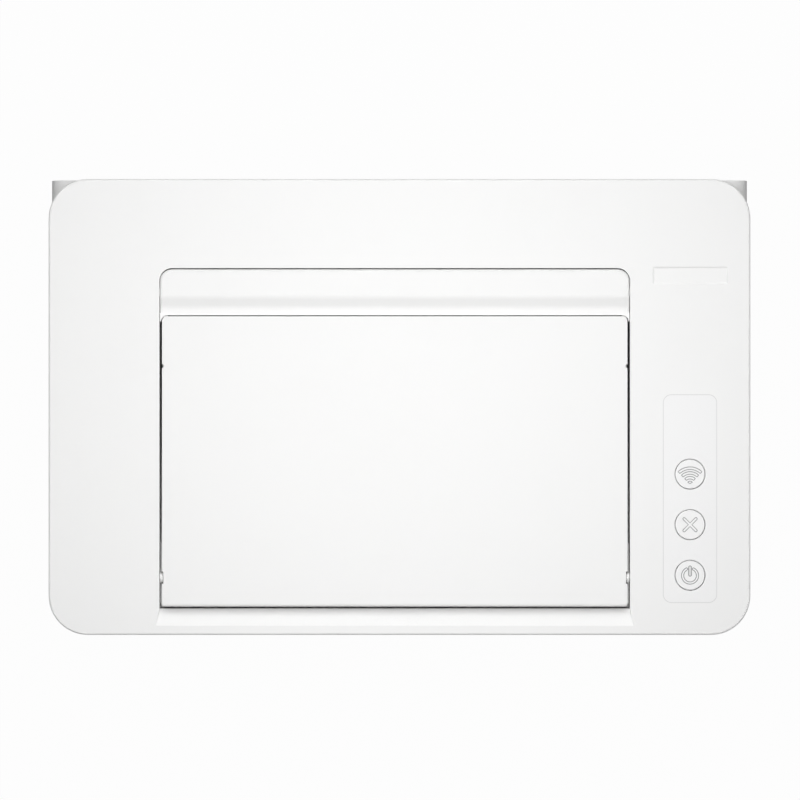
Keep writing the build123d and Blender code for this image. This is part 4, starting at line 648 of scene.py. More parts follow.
EXTRA: dict[str, Finish] = {
    "ink": Finish("Key print", (0.30, 0.30, 0.305), 0.45, 0.04, 0.05, 0.002, 0.0),
    "hairline": Finish("Panel hairline", (0.72, 0.72, 0.72), 0.4, 0.04, 0.02, 0.002, 0.0),
    "contact": Metal("Tinned contact", (0.72, 0.70, 0.64), 0.22, 0.06, 0.06, 0.003, 0.05),
    "chip": Finish("Chip moulding", (0.022, 0.022, 0.024), 0.4, 0.05, 0.1, 0.006, 0.1),
    "sleeve": Finish("Capacitor sleeve", (0.05, 0.06, 0.10), 0.25, 0.04, 0.05, 0.002, 0.08),
    "cork": Finish("Cork pad", (0.40, 0.26, 0.15), 0.85, 0.05, 0.25, 0.08, 0.2),
    # the scoop film's white is lighter than the body's white: painted light on the scoop
    "scoop_painted_light": Finish("Scoop white with painted light", (0.95, 0.95, 0.945), 0.28, 0.04, 0.01, 0.004, 0.0),
    "label": Finish("Bare label film", (0.62, 0.62, 0.60), 0.4, 0.04, 0.03, 0.004, 0.08),
    "latch_green": Finish("Release lever moulding", (0.06, 0.30, 0.24), 0.42, 0.05, 0.03, 0.01, 0.08),
    "tie_white": Finish("Connector moulding", (0.70, 0.69, 0.65), 0.45, 0.05, 0.03, 0.01, 0.1),
}


# Mesh building


def arc(centre: Point, radius: float, start: float, end: float, steps: int = 12) -> list[Point]:
    """Returns points along an arc, its angles in degrees."""
    turns = [math.radians(start + (end - start) * i / steps) for i in range(steps + 1)]
    return [(centre[0] + radius * math.cos(t), centre[1] + radius * math.sin(t)) for t in turns]


def circle(centre: Point, radius: float, steps: int = 32) -> list[Point]:
    """Returns the points of a circle, each once."""
    return arc(centre, radius, 0, 360 - 360 / steps, steps - 1)


def rounded(u: Span, v: Span, radius: float, steps: int = 5) -> list[Point]:
    """Returns a rounded rectangle that fills two spans.

    Args:
        u: first span.
        v: second span.
        radius: corner radius.
        steps: number of pieces of a round.

    Returns:
        The points.
    """
    corners = (((u[1], v[0]), (-1, 1), -90), ((u[1], v[1]), (-1, -1), 0),
               ((u[0], v[1]), (1, -1), 90), ((u[0], v[0]), (1, 1), 180))
    points: list[Point] = []
    for (cu, cv), (su, sv), turn in corners:
        points += arc((cu + su * radius, cv + sv * radius), radius, turn, turn + 90, steps)
    return points


def capsule(start: Point, end: Point, width: float, steps: int = 8) -> list[Point]:
    """Returns a bar with round ends that runs from one centre to another.

    Args:
        start: centre of one end.
        end: centre of the other end.
        width: width of the bar.
        steps: number of pieces of a round.

    Returns:
        The points.
    """
    turn = math.degrees(math.atan2(end[1] - start[1], end[0] - start[0]))
    return (arc(end, width / 2, turn - 90, turn + 90, steps)
            + arc(start, width / 2, turn + 90, turn + 270, steps))


def band(centre: Point, middle: float, width: float, start: float, end: float,
         steps: int = 24) -> list[Point]:
    """Returns a curved bar with round ends, along an arc whose angles are in degrees.

    Args:
        centre: the centre.
        middle: radius of its middle line.
        width: width of the bar.
        start: angle of one end.
        end: angle of the other end.
        steps: number of pieces of a round.

    Returns:
        The points.
    """
    outer = arc(centre, middle + width / 2, start, end, steps)
    inner = arc(centre, middle - width / 2, end, start, steps)
    far_end, near_end = (arc(centre, middle, turn, turn, 1)[0] for turn in (end, start))
    far = arc(far_end, width / 2, end, end + 180, 8)[1:-1]
    near = arc(near_end, width / 2, start + 180, start + 360, 8)[1:-1]
    return outer + far + inner + near


def lifted(profile: Sequence[Point], base: float) -> list[Point]:
    """Returns a side profile whose distances start at a base."""
    return [(along + base, radius) for along, radius in profile]


def slope_height(front: Point, rear: Point, y: float) -> float:
    """Returns the height at y of the slope between two edges (y, z)."""
    share = (y - front[0]) / (rear[0] - front[0])
    return front[1] + share * (rear[1] - front[1])


def spread(first: float, last: float, count: int) -> list[float]:
    """Returns evenly spaced values from first to last."""
    return [first + (last - first) * i / (count - 1) for i in range(count)]


def outline_strip(points: Sequence[Point], width: float) -> tuple[list[Point], list[Point]]:
    """Returns a closed outline moved outward and inward by half a width.

    Args:
        points: points of the outline.
        width: width of the strip.

    Returns:
        The outer and the inner outline.
    """
    outer: list[Point] = []
    inner: list[Point] = []
    total = len(points)
    for i, here in enumerate(points):
        before, after = Vector(points[i - 1]), Vector(points[(i + 1) % total])
        along = (after - before).normalized()
        side = Vector((along.y, -along.x)) * width / 2
        outer.append(tuple(Vector(here) + side))
        inner.append(tuple(Vector(here) - side))
    return outer, inner


@dataclass
class Form:
    """A piece made of one mesh, built in millimetres from prisms, rings and turned shapes.

    Args:
        name: name of the piece.
        finish: name of its finish.
        body: body that it rides on.
        edge: width of the rounded edges.
        mesh: the mesh under construction.
    """

    name: str
    finish: str
    body: Body
    edge: float = 0.12
    mesh: bmesh.types.BMesh = field(default_factory=bmesh.new)

    @property
    def slot(self) -> str | None:
        """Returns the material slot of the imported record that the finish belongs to."""
        return self.finish if self.finish in FINISHES else None

    def loop(self, outline: Sequence[Point], axis: Axis, along: float) -> list[bmesh.types.BMVert]:
        """Adds the points of an outline at a distance along an axis."""
        return [self.mesh.verts.new(axis.place(u, v, along)) for u, v in outline]

    def prism(self, outline: Sequence[Point], axis: Axis, start: float, end: float) -> None:
        """Adds an outline carried along an axis from start to end."""
        self.skin([[axis.place(u, v, along) for u, v in outline] for along in (start, end)])

    def ring(self, outer: Sequence[Point], inner: Sequence[Point], axis: Axis, start: float,
             end: float) -> None:
        """Adds the strip between two outlines that have the same number of points, carried along an axis.

        Args:
            outer: the outer outline.
            inner: the inner outline.
            axis: the axis that it is carried along.
            start: where it starts.
            end: where it ends.
        """
        low_out, low_in, high_out, high_in = (
            self.loop(outline, axis, along) for along in (start, end) for outline in (outer, inner))
        for i in range(len(outer)):
            j = (i + 1) % len(outer)
            for a, b in ((low_out, low_in), (low_in, high_in), (high_in, high_out), (high_out, low_out)):
                self.mesh.faces.new((a[i], a[j], b[j], b[i]))

    def skin(self, loops: Sequence[Sequence[Triple]]) -> None:
        """Adds a closed skin over two loops of as many points in space.

        Args:
            loops: the two loops.
        """
        near, far = ([self.mesh.verts.new(point) for point in loop] for loop in loops)
        self.mesh.faces.new(near)
        self.mesh.faces.new(list(reversed(far)))
        for i in range(len(near)):
            j = (i + 1) % len(near)
            self.mesh.faces.new((near[j], near[i], far[i], far[j]))

    def ruled(self, loops: Sequence[tuple[Sequence[Point], float]]) -> None:
        """Adds the closed skin through several level outlines, each with its height and as many points.

        Args:
            loops: the outlines with their heights.
        """
        rows = [self.loop(outline, Axis.Z, height) for outline, height in loops]
        count = len(rows[0])
        for k, row in enumerate(rows):
            above = rows[(k + 1) % len(rows)]
            for i in range(count):
                j = (i + 1) % count
                self.mesh.faces.new((row[i], row[j], above[j], above[i]))

    def block(self, x: Span, y: Span, z: Span, radius: float = 0.0, axis: Axis = Axis.Z) -> None:
        """Adds a block that fills three spans, rounded about an axis where a radius is given.

        Args:
            x: span along X.
            y: span along Y.
            z: span along Z.
            radius: corner radius, or 0 for square corners.
            axis: the axis that its corners turn about.
        """
        spans = [x, y, z]
        along = spans.pop(axis.value)
        if radius:
            outline = rounded(spans[0], spans[1], radius)
        else:
            (u0, u1), (v0, v1) = spans
            outline = [(u0, v0), (u1, v0), (u1, v1), (u0, v1)]
        self.prism(outline, axis, *along)

    def turned(self, profile: Sequence[Point], axis: Axis, centre: Point, steps: int = 32) -> None:
        """Adds a shape turned about an axis.

        Args:
            profile: points (distance along the axis, radius), its first and last radius may be 0.
            axis: the axis it is turned about.
            centre: place of the axis.
            steps: sides of the turned shape.
        """
        rows = [self.loop(circle(centre, radius, steps) if radius else [centre], axis, along)
                for along, radius in profile]
        for low, high in zip(rows, rows[1:]):
            for i in range(steps):
                j = (i + 1) % steps
                corners = [low[i % len(low)], low[j % len(low)], high[j % len(high)], high[i % len(high)]]
                unique = list(dict.fromkeys(corners))
                if len(unique) > 2:
                    self.mesh.faces.new(unique)
        for row in (rows[0], rows[-1]):
            if len(row) > 1:
                self.mesh.faces.new(row)

    def done(self, workshop: Workshop) -> None:
        """Makes the object, dresses it and lets it ride on its body.

        Args:
            workshop: dresses the pieces.
        """
        bmesh.ops.recalc_face_normals(self.mesh, faces=self.mesh.faces)
        bmesh.ops.scale(self.mesh, vec=(MM, MM, MM), verts=self.mesh.verts)
        data = bpy.data.meshes.new(self.name)
        self.mesh.to_mesh(data)
        self.mesh.free()
        made = bpy.data.objects.new(self.name, data)
        bpy.context.scene.collection.objects.link(made)
        made.data.materials.append(workshop.material(self.finish))
        if self.edge:
            soften(made, self.edge)
        made.data.shade_smooth()
        smooth_by_angle(made)
        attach(made, self.body.value)


def soften(made: Object, width: float) -> None:
    """Rounds the sharp edges of an object by a width in millimetres.

    Args:
        made: the object.
        width: width in millimetres.
    """
    bevel = made.modifiers.new("Edge", "BEVEL")
    bevel.width = width * MM
    bevel.segments = 2
    bevel.limit_method = "ANGLE"
    bevel.angle_limit = SMOOTH_ANGLE
    bevel.use_clamp_overlap = True


def smooth_by_angle(made: Object) -> None:
    """Keeps the edges of a smooth shaded mesh sharp where its faces meet at an angle."""
    made.data.set_sharp_from_angle(angle=SMOOTH_ANGLE)


class Workshop:
    """Holds the finishes and dresses pieces with them."""

    def __init__(self) -> None:
        """Starts with no material built."""
        self.effects = Effects()
        self.finishes = {**FINISHES, **EXTRA}
        self.built: dict[str, Material] = {}

    def material(self, name: str) -> Material:
        """Returns a finish's material, built when it is first asked for.

        Args:
            name: name of the finish.

        Returns:
            The material.
        """
        if name not in self.built:
            self.built[name] = self.finishes[name].build(self.effects)
        return self.built[name]

    def dress(self, node: str, finish: str, edge: float = 0.0) -> None:
        """Gives a CAD node its finish, and rounds its edges where a width is given.

        Args:
            node: name of the node.
            finish: name of the finish.
            edge: width of the rounded edges.
        """
        made = frame["nodes"][node]
        made.data.materials.clear()
        made.data.materials.append(self.material(finish))
        if edge:
            soften(made, edge)


# Studio


@dataclass
class Studio:
    """Plain soft light, a pale floor and the camera of the photograph.

    Args:
        eye: place of the camera.
        lens: its focal length.
        fill: strength of the light from all round.
        overhead: power of the large lamp overhead, in watts.
        rear: power of the lamp behind the printer, which lights the scoop, in watts.
        side: power of the lamps at the sides, in watts.
        paper: how pale the floor is to everything but the camera.
        glow: share of plain white in what the camera sees of the floor.
        rear_place: place of the lamp behind the printer.
        side_place: place of the lamp at the right; the left one mirrors it.
        wide: diameter of the rear and side lamps.
        floor_size: length of a side of the floor.
        overhead_place: place of the lamp overhead.
        overhead_size: its diameter.
        aim: the point that the rear and side lamps look at.
        sensor: width of the camera's sensor.
        reach: how far the camera sees, in metres.
    """

    eye: Triple = (0.24, 3.3, 2677.3)
    lens: float = 238.5
    fill: float = 0.24
    overhead: float = 1.44
    rear: float = 8.5
    side: float = 1.2
    paper: float = 0.5
    glow: float = 0.975
    rear_place: Triple = (0.0, 1250.0, 1350.0)
    side_place: Triple = (1500.0, -500.0, 900.0)
    wide: float = 1100.0
    floor_size: float = 6000.0
    overhead_place: Triple = (1.2, 22.0, 660.0)
    overhead_size: float = 420.0
    aim: Triple = (0.0, 0.0, 90.0)
    sensor: float = 36.0
    reach: float = 100.0

    def build(self) -> None:
        """Builds the world, the lamps, the floor and the camera."""
        scene = bpy.context.scene
        scene.view_settings.view_transform = "Standard"
        self.world(scene)
        self.lamps(scene)
        self.floor(scene)
        self.camera(scene)

    def world(self, scene: Scene) -> None:
        """Makes the background white for the camera and in reflections, and a soft fill elsewhere.

        Args:
            scene: the scene.
        """
        world = bpy.data.worlds.new("Studio")
        scene.world = world
        world.use_nodes = True
        tree = world.node_tree
        tree.nodes.clear()
        path = tree.nodes.new("ShaderNodeLightPath")
        seen = math_node(tree, "MAXIMUM", path.outputs["Is Camera Ray"],
                         math_node(tree, "MAXIMUM", path.outputs["Is Glossy Ray"],
                                   path.outputs["Is Transmission Ray"]))
        strength = remap(tree, seen, (0, 1), (self.fill, 1.0))
        light = add_node(tree, "ShaderNodeBackground", {"Color": (1, 1, 1, 1), "Strength": strength})
        output = tree.nodes.new("ShaderNodeOutputWorld")
        tree.links.new(light.outputs[0], output.inputs["Surface"])

    def lamps(self, scene: Scene) -> None:
        """Hangs the large lamp overhead and the softer ones round the sides.

        Args:
            scene: the scene.
        """
        right = self.side_place
        left = (-right[0], right[1], right[2])
        places = (("Overhead", self.overhead_place, self.overhead_size, self.overhead),
                  ("Rear", self.rear_place, self.wide, self.rear),
                  ("Left", left, self.wide, self.side), ("Right", right, self.wide, self.side))
        for name, place, size, power in places:
            data = bpy.data.lights.new(name, "AREA")
            data.shape = "DISK"
            data.size = size * MM
            data.energy = power
            lamp = bpy.data.objects.new(f"{name} lamp", data)
            lamp.location = Vector(place) * MM
            aim = Vector((*place[:2], 0.0) if name == "Overhead" else self.aim)
            lamp.rotation_euler = (Vector(place) - aim).to_track_quat("Z", "Y").to_euler()
            lamp.visible_camera = False
            scene.collection.objects.link(lamp)

    def floor(self, scene: Scene) -> None:
        """Lays the pale floor, which stays close to white and keeps the object's shadow.

        Args:
            scene: the scene.
        """
        half = self.floor_size / 2 * MM
        data = bpy.data.meshes.new("Floor")
        data.from_pydata([(-half, -half, 0), (half, -half, 0), (half, half, 0), (-half, half, 0)], [],
                         [(0, 1, 2, 3)])
        made = bpy.data.objects.new("Floor", data)
        scene.collection.objects.link(made)
        material = bpy.data.materials.new("Floor paper")
        material.use_nodes = True
        tree = material.node_tree
        tree.nodes.clear()
        path = tree.nodes.new("ShaderNodeLightPath")
        paper = add_node(tree, "ShaderNodeBsdfDiffuse", {"Color": (self.paper, self.paper, self.paper, 1)})
        glow = add_node(tree, "ShaderNodeEmission", {"Color": (1, 1, 1, 1), "Strength": 1.0})
        share = math_node(tree, "MULTIPLY", path.outputs["Is Camera Ray"], self.glow)
        mixed = add_node(tree, "ShaderNodeMixShader", {0: share, 1: paper.outputs[0], 2: glow.outputs[0]})
        output = tree.nodes.new("ShaderNodeOutputMaterial")
        tree.links.new(mixed.outputs[0], output.inputs["Surface"])
        data.materials.append(material)

    def camera(self, scene: Scene) -> None:
        """Hangs the camera straight above, where the photograph was taken from.

        Args:
            scene: the scene.
        """
        data = bpy.data.cameras.new("Camera")
        data.lens = self.lens
        data.sensor_width = self.sensor
        data.clip_end = self.reach
        made = bpy.data.objects.new("Camera", data)
        made.location = Vector(self.eye) * MM
        scene.collection.objects.link(made)
        scene.camera = made


@dataclass
class Trim:
    """A sub-assembly of fine pieces.

    Args:
        workshop: dresses its pieces.
    """

    workshop: Workshop

    def build(self) -> None:
        """Builds and dresses the pieces."""
        raise NotImplementedError


# Print and panel


@dataclass
class KeyPrint(Trim):
    """The grey outlines printed on the three keys.

    Args:
        x: place of the keys across.
        top: height of the key tops.
        line: width of the printed line.
        lift: height of the print above the key.
        rows: place of each key along Y.
        apex_drop: from the middle of the key forward to the centre of the waves.
        wave_turn: half the angle of a wave, in degrees.
        wave_width: width of a wave.
        wave_radii: radius of the middle of each wave.
        wedge: radius, half angle and foot of the wedge under the waves.
        cross_size: half width of a bar of the cross, and reach of the centres of its round ends.
        ring_size: radius, width, half angle of the opening and drop of the standby ring.
        bar_ends: centres of the round ends of the standby bar, from the middle of the key.
        bar_width: width of that bar.
    """

    x: float = 137.0
    top: float = 178.3
    line: float = 0.4
    lift: float = 0.02
    rows: dict[Body, float] = field(default_factory=lambda: {
        Body.WIRELESS: -31.65, Body.CANCEL: -55.5, Body.POWER: -79.35})
    apex_drop: float = 4.75
    wave_turn: float = 43.5
    wave_width: float = 1.2
    wave_radii: tuple[float, ...] = (7.54, 5.3, 3.05)
    wedge: Triple = (1.45, 50.0, 0.3)
    cross_size: Point = (0.6, 3.9)
    ring_size: tuple[float, float, float, float] = (3.5, 1.05, 27.0, 0.15)
    bar_ends: Span = (0.25, 3.75)
    bar_width: float = 1.35

    def build(self) -> None:
        """Prints the three icons."""
        self.waves()
        self.cross()
        self.standby()

    def stroke(self, form: Form, outline: Sequence[Point]) -> None:
        """Adds an outline as a thin printed line."""
        outer, inner = outline_strip(outline, self.line)
        form.ring(outer, inner, Axis.Z, self.top - self.lift, self.top + self.lift)

    def form(self, name: str, body: Body) -> Form:
        """Returns an empty print for a key."""
        return Form(name, "ink", body, edge=0.0)

    def waves(self) -> None:
        """Prints three curved bands over a wedge."""
        form = self.form("wireless_print", Body.WIRELESS)
        apex = (self.x, self.rows[Body.WIRELESS] - self.apex_drop)
        low, high = UPRIGHT - self.wave_turn, UPRIGHT + self.wave_turn
        for middle in self.wave_radii:
            outer = arc(apex, middle + self.wave_width / 2, low, high, 24)
            self.stroke(form, outer + arc(apex, middle - self.wave_width / 2, high, low, 24))
        radius, turn, foot = self.wedge
        self.stroke(form, arc(apex, radius, UPRIGHT - turn, UPRIGHT + turn, 10) + [(apex[0], apex[1] + foot)])
        form.done(self.workshop)

    def cross(self) -> None:
        """Prints the outline of two crossed bars."""
        form = self.form("cancel_print", Body.CANCEL)
        y = self.rows[Body.CANCEL]
        half, reach = self.cross_size
        points: list[Point] = []
        for quarter in range(4):
            turn = math.radians(90 * quarter + 45)
            for u, v in [(half, -half)] + arc((reach, 0), half, -90, 90, 8):
                points.append((self.x + u * math.cos(turn) - v * math.sin(turn),
                               y + u * math.sin(turn) + v * math.cos(turn)))
        self.stroke(form, points)
        form.done(self.workshop)

    def standby(self) -> None:
        """Prints a broken ring and a filled upright bar."""
        form = self.form("power_print", Body.POWER)
        y = self.rows[Body.POWER]
        radius, width, opening, drop = self.ring_size
        turns = (UPRIGHT + opening, UPRIGHT + 360 - opening)
        self.stroke(form, band((self.x, y - drop), radius, width, *turns, 40))
        bar = capsule((self.x, y + self.bar_ends[0]), (self.x, y + self.bar_ends[1]), self.bar_width)
        self.stroke(form, bar)
        form.done(self.workshop)
        fill = Form("power_print_fill", "hairline", Body.POWER, edge=0.0)
        fill.prism(bar, Axis.Z, self.top - self.lift, self.top + self.lift / 2)
        fill.done(self.workshop)


@dataclass
class PanelEdges(Trim):
    """The slopes round the bare recess for a name plate, and the fine joint round the panel film.

    Args:
        recess: centre of the recess.
        recess_size: its size across and along.
        recess_depth: its depth.
        recess_corners: corner radius of its upper edge and of its floor.
        slope: width of the slopes round its floor.
        panel: spans of the panel film.
        corner: corner radius of the film.
        joint: width of the joint round it.
        joint_lift: height of the joint above the top.
        sink: how far the slopes and the joint reach into the top.
        seam: room left at the edges of the slopes.
    """

    recess: Point = (137.15, 62.0)
    recess_size: Point = (35.5, 8.3)
    recess_depth: float = 0.5
    recess_corners: Point = (0.62, 0.3)
    slope: float = 0.75
    panel: tuple[Span, Span] = ((124.4, 149.6), (-92.2, 5.8))
    corner: float = 3.8
    joint: float = 0.34
    joint_lift: float = 0.012
    sink: float = 0.05
    seam: float = 0.02

    def build(self) -> None:
        """Builds the slopes and the joint."""
        self.slopes()
        outer, inner = outline_strip(rounded(*self.panel, self.corner, 12), self.joint)
        joint = Form("panel_joint", "hairline", Body.PRINTER, edge=0.0)
        joint.ring(outer, inner, Axis.Z, TOP - self.sink, TOP + self.joint_lift)
        joint.done(self.workshop)

    def slopes(self) -> None:
        """Builds the sloping walls of the recess."""
        half_x, half_y = self.recess_size[0] / 2, self.recess_size[1] / 2
        x = (self.recess[0] - half_x, self.recess[0] + half_x)
        y = (self.recess[1] - half_y, self.recess[1] + half_y)
        low = TOP - self.recess_depth
        form = Form("recess_slopes", "shell_white", Body.PRINTER, edge=0.0)
        outer_corner, inner_corner = self.recess_corners
        outer = rounded(x, y, outer_corner, 6)
        floor_x = (x[0] + self.slope, x[1] - self.slope)
        floor_y = (y[0] + self.slope, y[1] - self.slope)
        inner = rounded(floor_x, floor_y, inner_corner, 6)
        form.ruled([(outer, low - self.sink), (outer, TOP - self.seam), (inner, low + self.seam),
                    (inner, low - self.sink)])
        form.done(self.workshop)


@dataclass
class PaintedLightScoop(Trim):
    """A thin, smoother film over the scoop in front of the paper flap, whiter than the body: painted light on
    a slope that the lamps leave shaded.

    Args:
        foot: half width, place and height of its rear edge (x from the paper's middle, y, z).
        head: the same of its front edge.
        thick: thickness of the face.
    """

    foot: Triple = (110.8, -95.35, 172.6)
    head: Triple = (112.5, -103.15, 177.9)
    thick: float = 0.06

    def build(self) -> None:
        """Builds the face, which widens towards the front."""
        # painted light: a film whiter than the body, laid over the shaded slope of the scoop
        form = Form("painted_light_scoop_film", "scoop_painted_light", Body.PRINTER, edge=0.0)
        corners = ((-1, self.foot), (1, self.foot), (1, self.head), (-1, self.head))
        form.skin([[(PATH_X + side * half, y, z + rise) for side, (half, y, z) in corners]
                   for rise in (0.0, self.thick)])
        form.done(self.workshop)


@dataclass
class RearShoulders(Trim):
    """The square rear corners of the body, which round over beside the lid's corners.

    Args:
        body: half width and rear end of the body.
        lid: half width, rear end and corner radius of the frame above it.
        low: top of the side covers.
        radius: radius of the rounded edge.
        gap: room left beside the frame's corner.
        lead: from the start of the frame's corner to the front of a shoulder.
        least: narrowest slice that is built.
        slices: places along Y at which a shoulder is cut into slices.
        steps: pieces of the rounded edge.
    """

    body: Point = (165.0, 107.3)
    lid: Triple = (165.5, 107.5, 18.5)
    low: float = 160.0
    radius: float = 8.0
    gap: float = 0.15
    lead: float = 3.0
    least: float = 0.1
    slices: int = 22
    steps: int = 10

    def build(self) -> None:
        """Builds the left and the right shoulder."""
        for side, name in ((-1, "left"), (1, "right")):
            form = Form(f"{name}_rear_shoulder", "shell_white", Body.PRINTER, edge=0.0)
            half, rear, corner = self.lid
            middle_y = rear - corner
            rows = spread(middle_y + self.lead, self.body[1], self.slices)
            for near, far in zip(rows, rows[1:]):
                inner = half - corner + math.sqrt(max(corner ** 2 - (near - middle_y) ** 2, 0.0)) + self.gap
                depth = self.body[0] - inner
                if depth >= self.least:
                    form.prism(self.profile(depth, side), Axis.Y, near, far)
            form.done(self.workshop)

    def profile(self, depth: float, side: int) -> list[Point]:
        """Returns the rounded outline (x, z) from the body's side to a depth inward.

        Args:
            depth: how far it reaches inward.
            side: -1 for left, 1 for right.

        Returns:
            The points.
        """
        outer = self.body[0]
        points = [(side * outer, self.low)]
        for step in range(1, self.steps + 1):
            inward = min(depth, self.radius) * step / self.steps
            rise = math.sqrt(self.radius ** 2 - (self.radius - inward) ** 2)
            points.append((side * (outer - inward), self.low + rise))
        points.append((side * (outer - depth), points[-1][1]))
        return points + [(side * (outer - depth), self.low)]


# Bin, flap and doors


@dataclass
class PaperBin(Trim):
    """Ribs on the floor of the output bin, and teeth on its rear edge.

    Args:
        front: place and height of the floor's front edge (y, z).
        rear: place and height of its rear edge.
        rib: width and height of a rib.
        rib_slopes: spans along Y of a rib's front and rear slopes.
        rib_sink: how far a rib reaches into the floor.
        ribs_x: places of the first and the last rib.
        rib_count: number of ribs.
        tooth_y: span of a tooth along Y.
        tooth_z: heights of the upper and the lower end of a tooth's rear face.
        tooth_sink: how far its front edge reaches into the floor.
        tooth_half: half its width.
        tooth_inset: from the first rib to the first tooth.
        tooth_count: number of teeth.
    """

    front: Point = (-66.0, 167.0)
    rear: Point = (42.0, 148.0)
    rib: Point = (1.1, 0.8)
    rib_slopes: tuple[Span, Span] = ((-60.0, -56.0), (36.0, 39.5))
    rib_sink: float = 0.3
    ribs_x: Span = (-100.0, 95.5)
    rib_count: int = 9
    tooth_y: Span = (37.0, 40.2)
    tooth_z: Span = (150.0, 147.5)
    tooth_sink: float = 0.2
    tooth_half: float = 0.8
    tooth_inset: float = 6.0
    tooth_count: int = 18

    def build(self) -> None:
        """Builds the ribs and the teeth."""
        form = Form("bin_floor_ribs", "shell_white", Body.BIN_DOOR)
        wide, high = self.rib
        (low_front, top_front), (top_rear, low_rear) = self.rib_slopes
        ends = ((low_front, -self.rib_sink), (top_front, high), (top_rear, high), (low_rear, -self.rib_sink))
        outline = [(y, slope_height(self.front, self.rear, y) + rise) for y, rise in ends]
        for x in spread(*self.ribs_x, self.rib_count):
            form.prism(outline, Axis.X, x - wide / 2, x + wide / 2)
        form.done(self.workshop)
        teeth = Form("bin_rear_teeth", "shell_white", Body.BIN_DOOR)
        near, far = self.tooth_y
        foot = slope_height(self.front, self.rear, near) - self.tooth_sink
        outline = [(near, foot), (far, self.tooth_z[0]), (far, self.tooth_z[1])]
        first, last = self.ribs_x[0] + self.tooth_inset, self.ribs_x[1] - self.tooth_inset
        for x in spread(first, last, self.tooth_count):
            teeth.prism(outline, Axis.X, x - self.tooth_half, x + self.tooth_half)
        teeth.done(self.workshop)


@dataclass
class FlapRibs(Trim):
    """The lattice of ribs under the paper flap.

    Args:
        x: span of the lattice across.
        y: span of the lattice from front to rear.
        z: heights of the ribs' lower edge and of the flap's underside, with an overlap.
        wide: width of a rib.
        rows: number of ribs across.
        columns: number of ribs from front to rear.
        shallow: by which the ribs from front to rear are lower.
        marks_x: places of the first and the last mark of the ejector pins, across.
        marks_count: number of marks in a row.
        marks_y: place of each row of marks.
        mark: side profile of a mark, as heights and radii.
    """

    x: Span = (-106.0, 101.5)
    y: Span = (-58.0, 37.0)
    z: Span = (173.6, 175.3)
    wide: float = 1.0
    rows: int = 5
    columns: int = 9
    shallow: float = 0.3
    marks_x: Span = (-92.5, 88.0)
    marks_count: int = 8
    marks_y: tuple[float, ...] = (-46.0, -22.5, 1.5, 25.0)
    mark: tuple[Point, ...] = ((175.0, 0), (175.0, 2.6), (175.25, 2.9), (175.25, 0))

    def build(self) -> None:
        """Builds the lattice and the round marks of the ejector pins."""
        form = Form("flap_ribs", "shell_white", Body.FLAP)
        half = self.wide / 2
        for y in spread(*self.y, self.rows):
            form.block(self.x, (y - half, y + half), self.z)
        for x in spread(self.x[0] + half, self.x[1] - half, self.columns):
            form.block((x - half, x + half), self.y, (self.z[0] + self.shallow, self.z[1]))
        form.done(self.workshop)
        marks = Form("flap_pin_marks", "shell_white", Body.FLAP, edge=0.05)
        for x in spread(*self.marks_x, self.marks_count):
            for y in self.marks_y:
                marks.turned(self.mark, Axis.Z, (x, y), 24)
        marks.done(self.workshop)


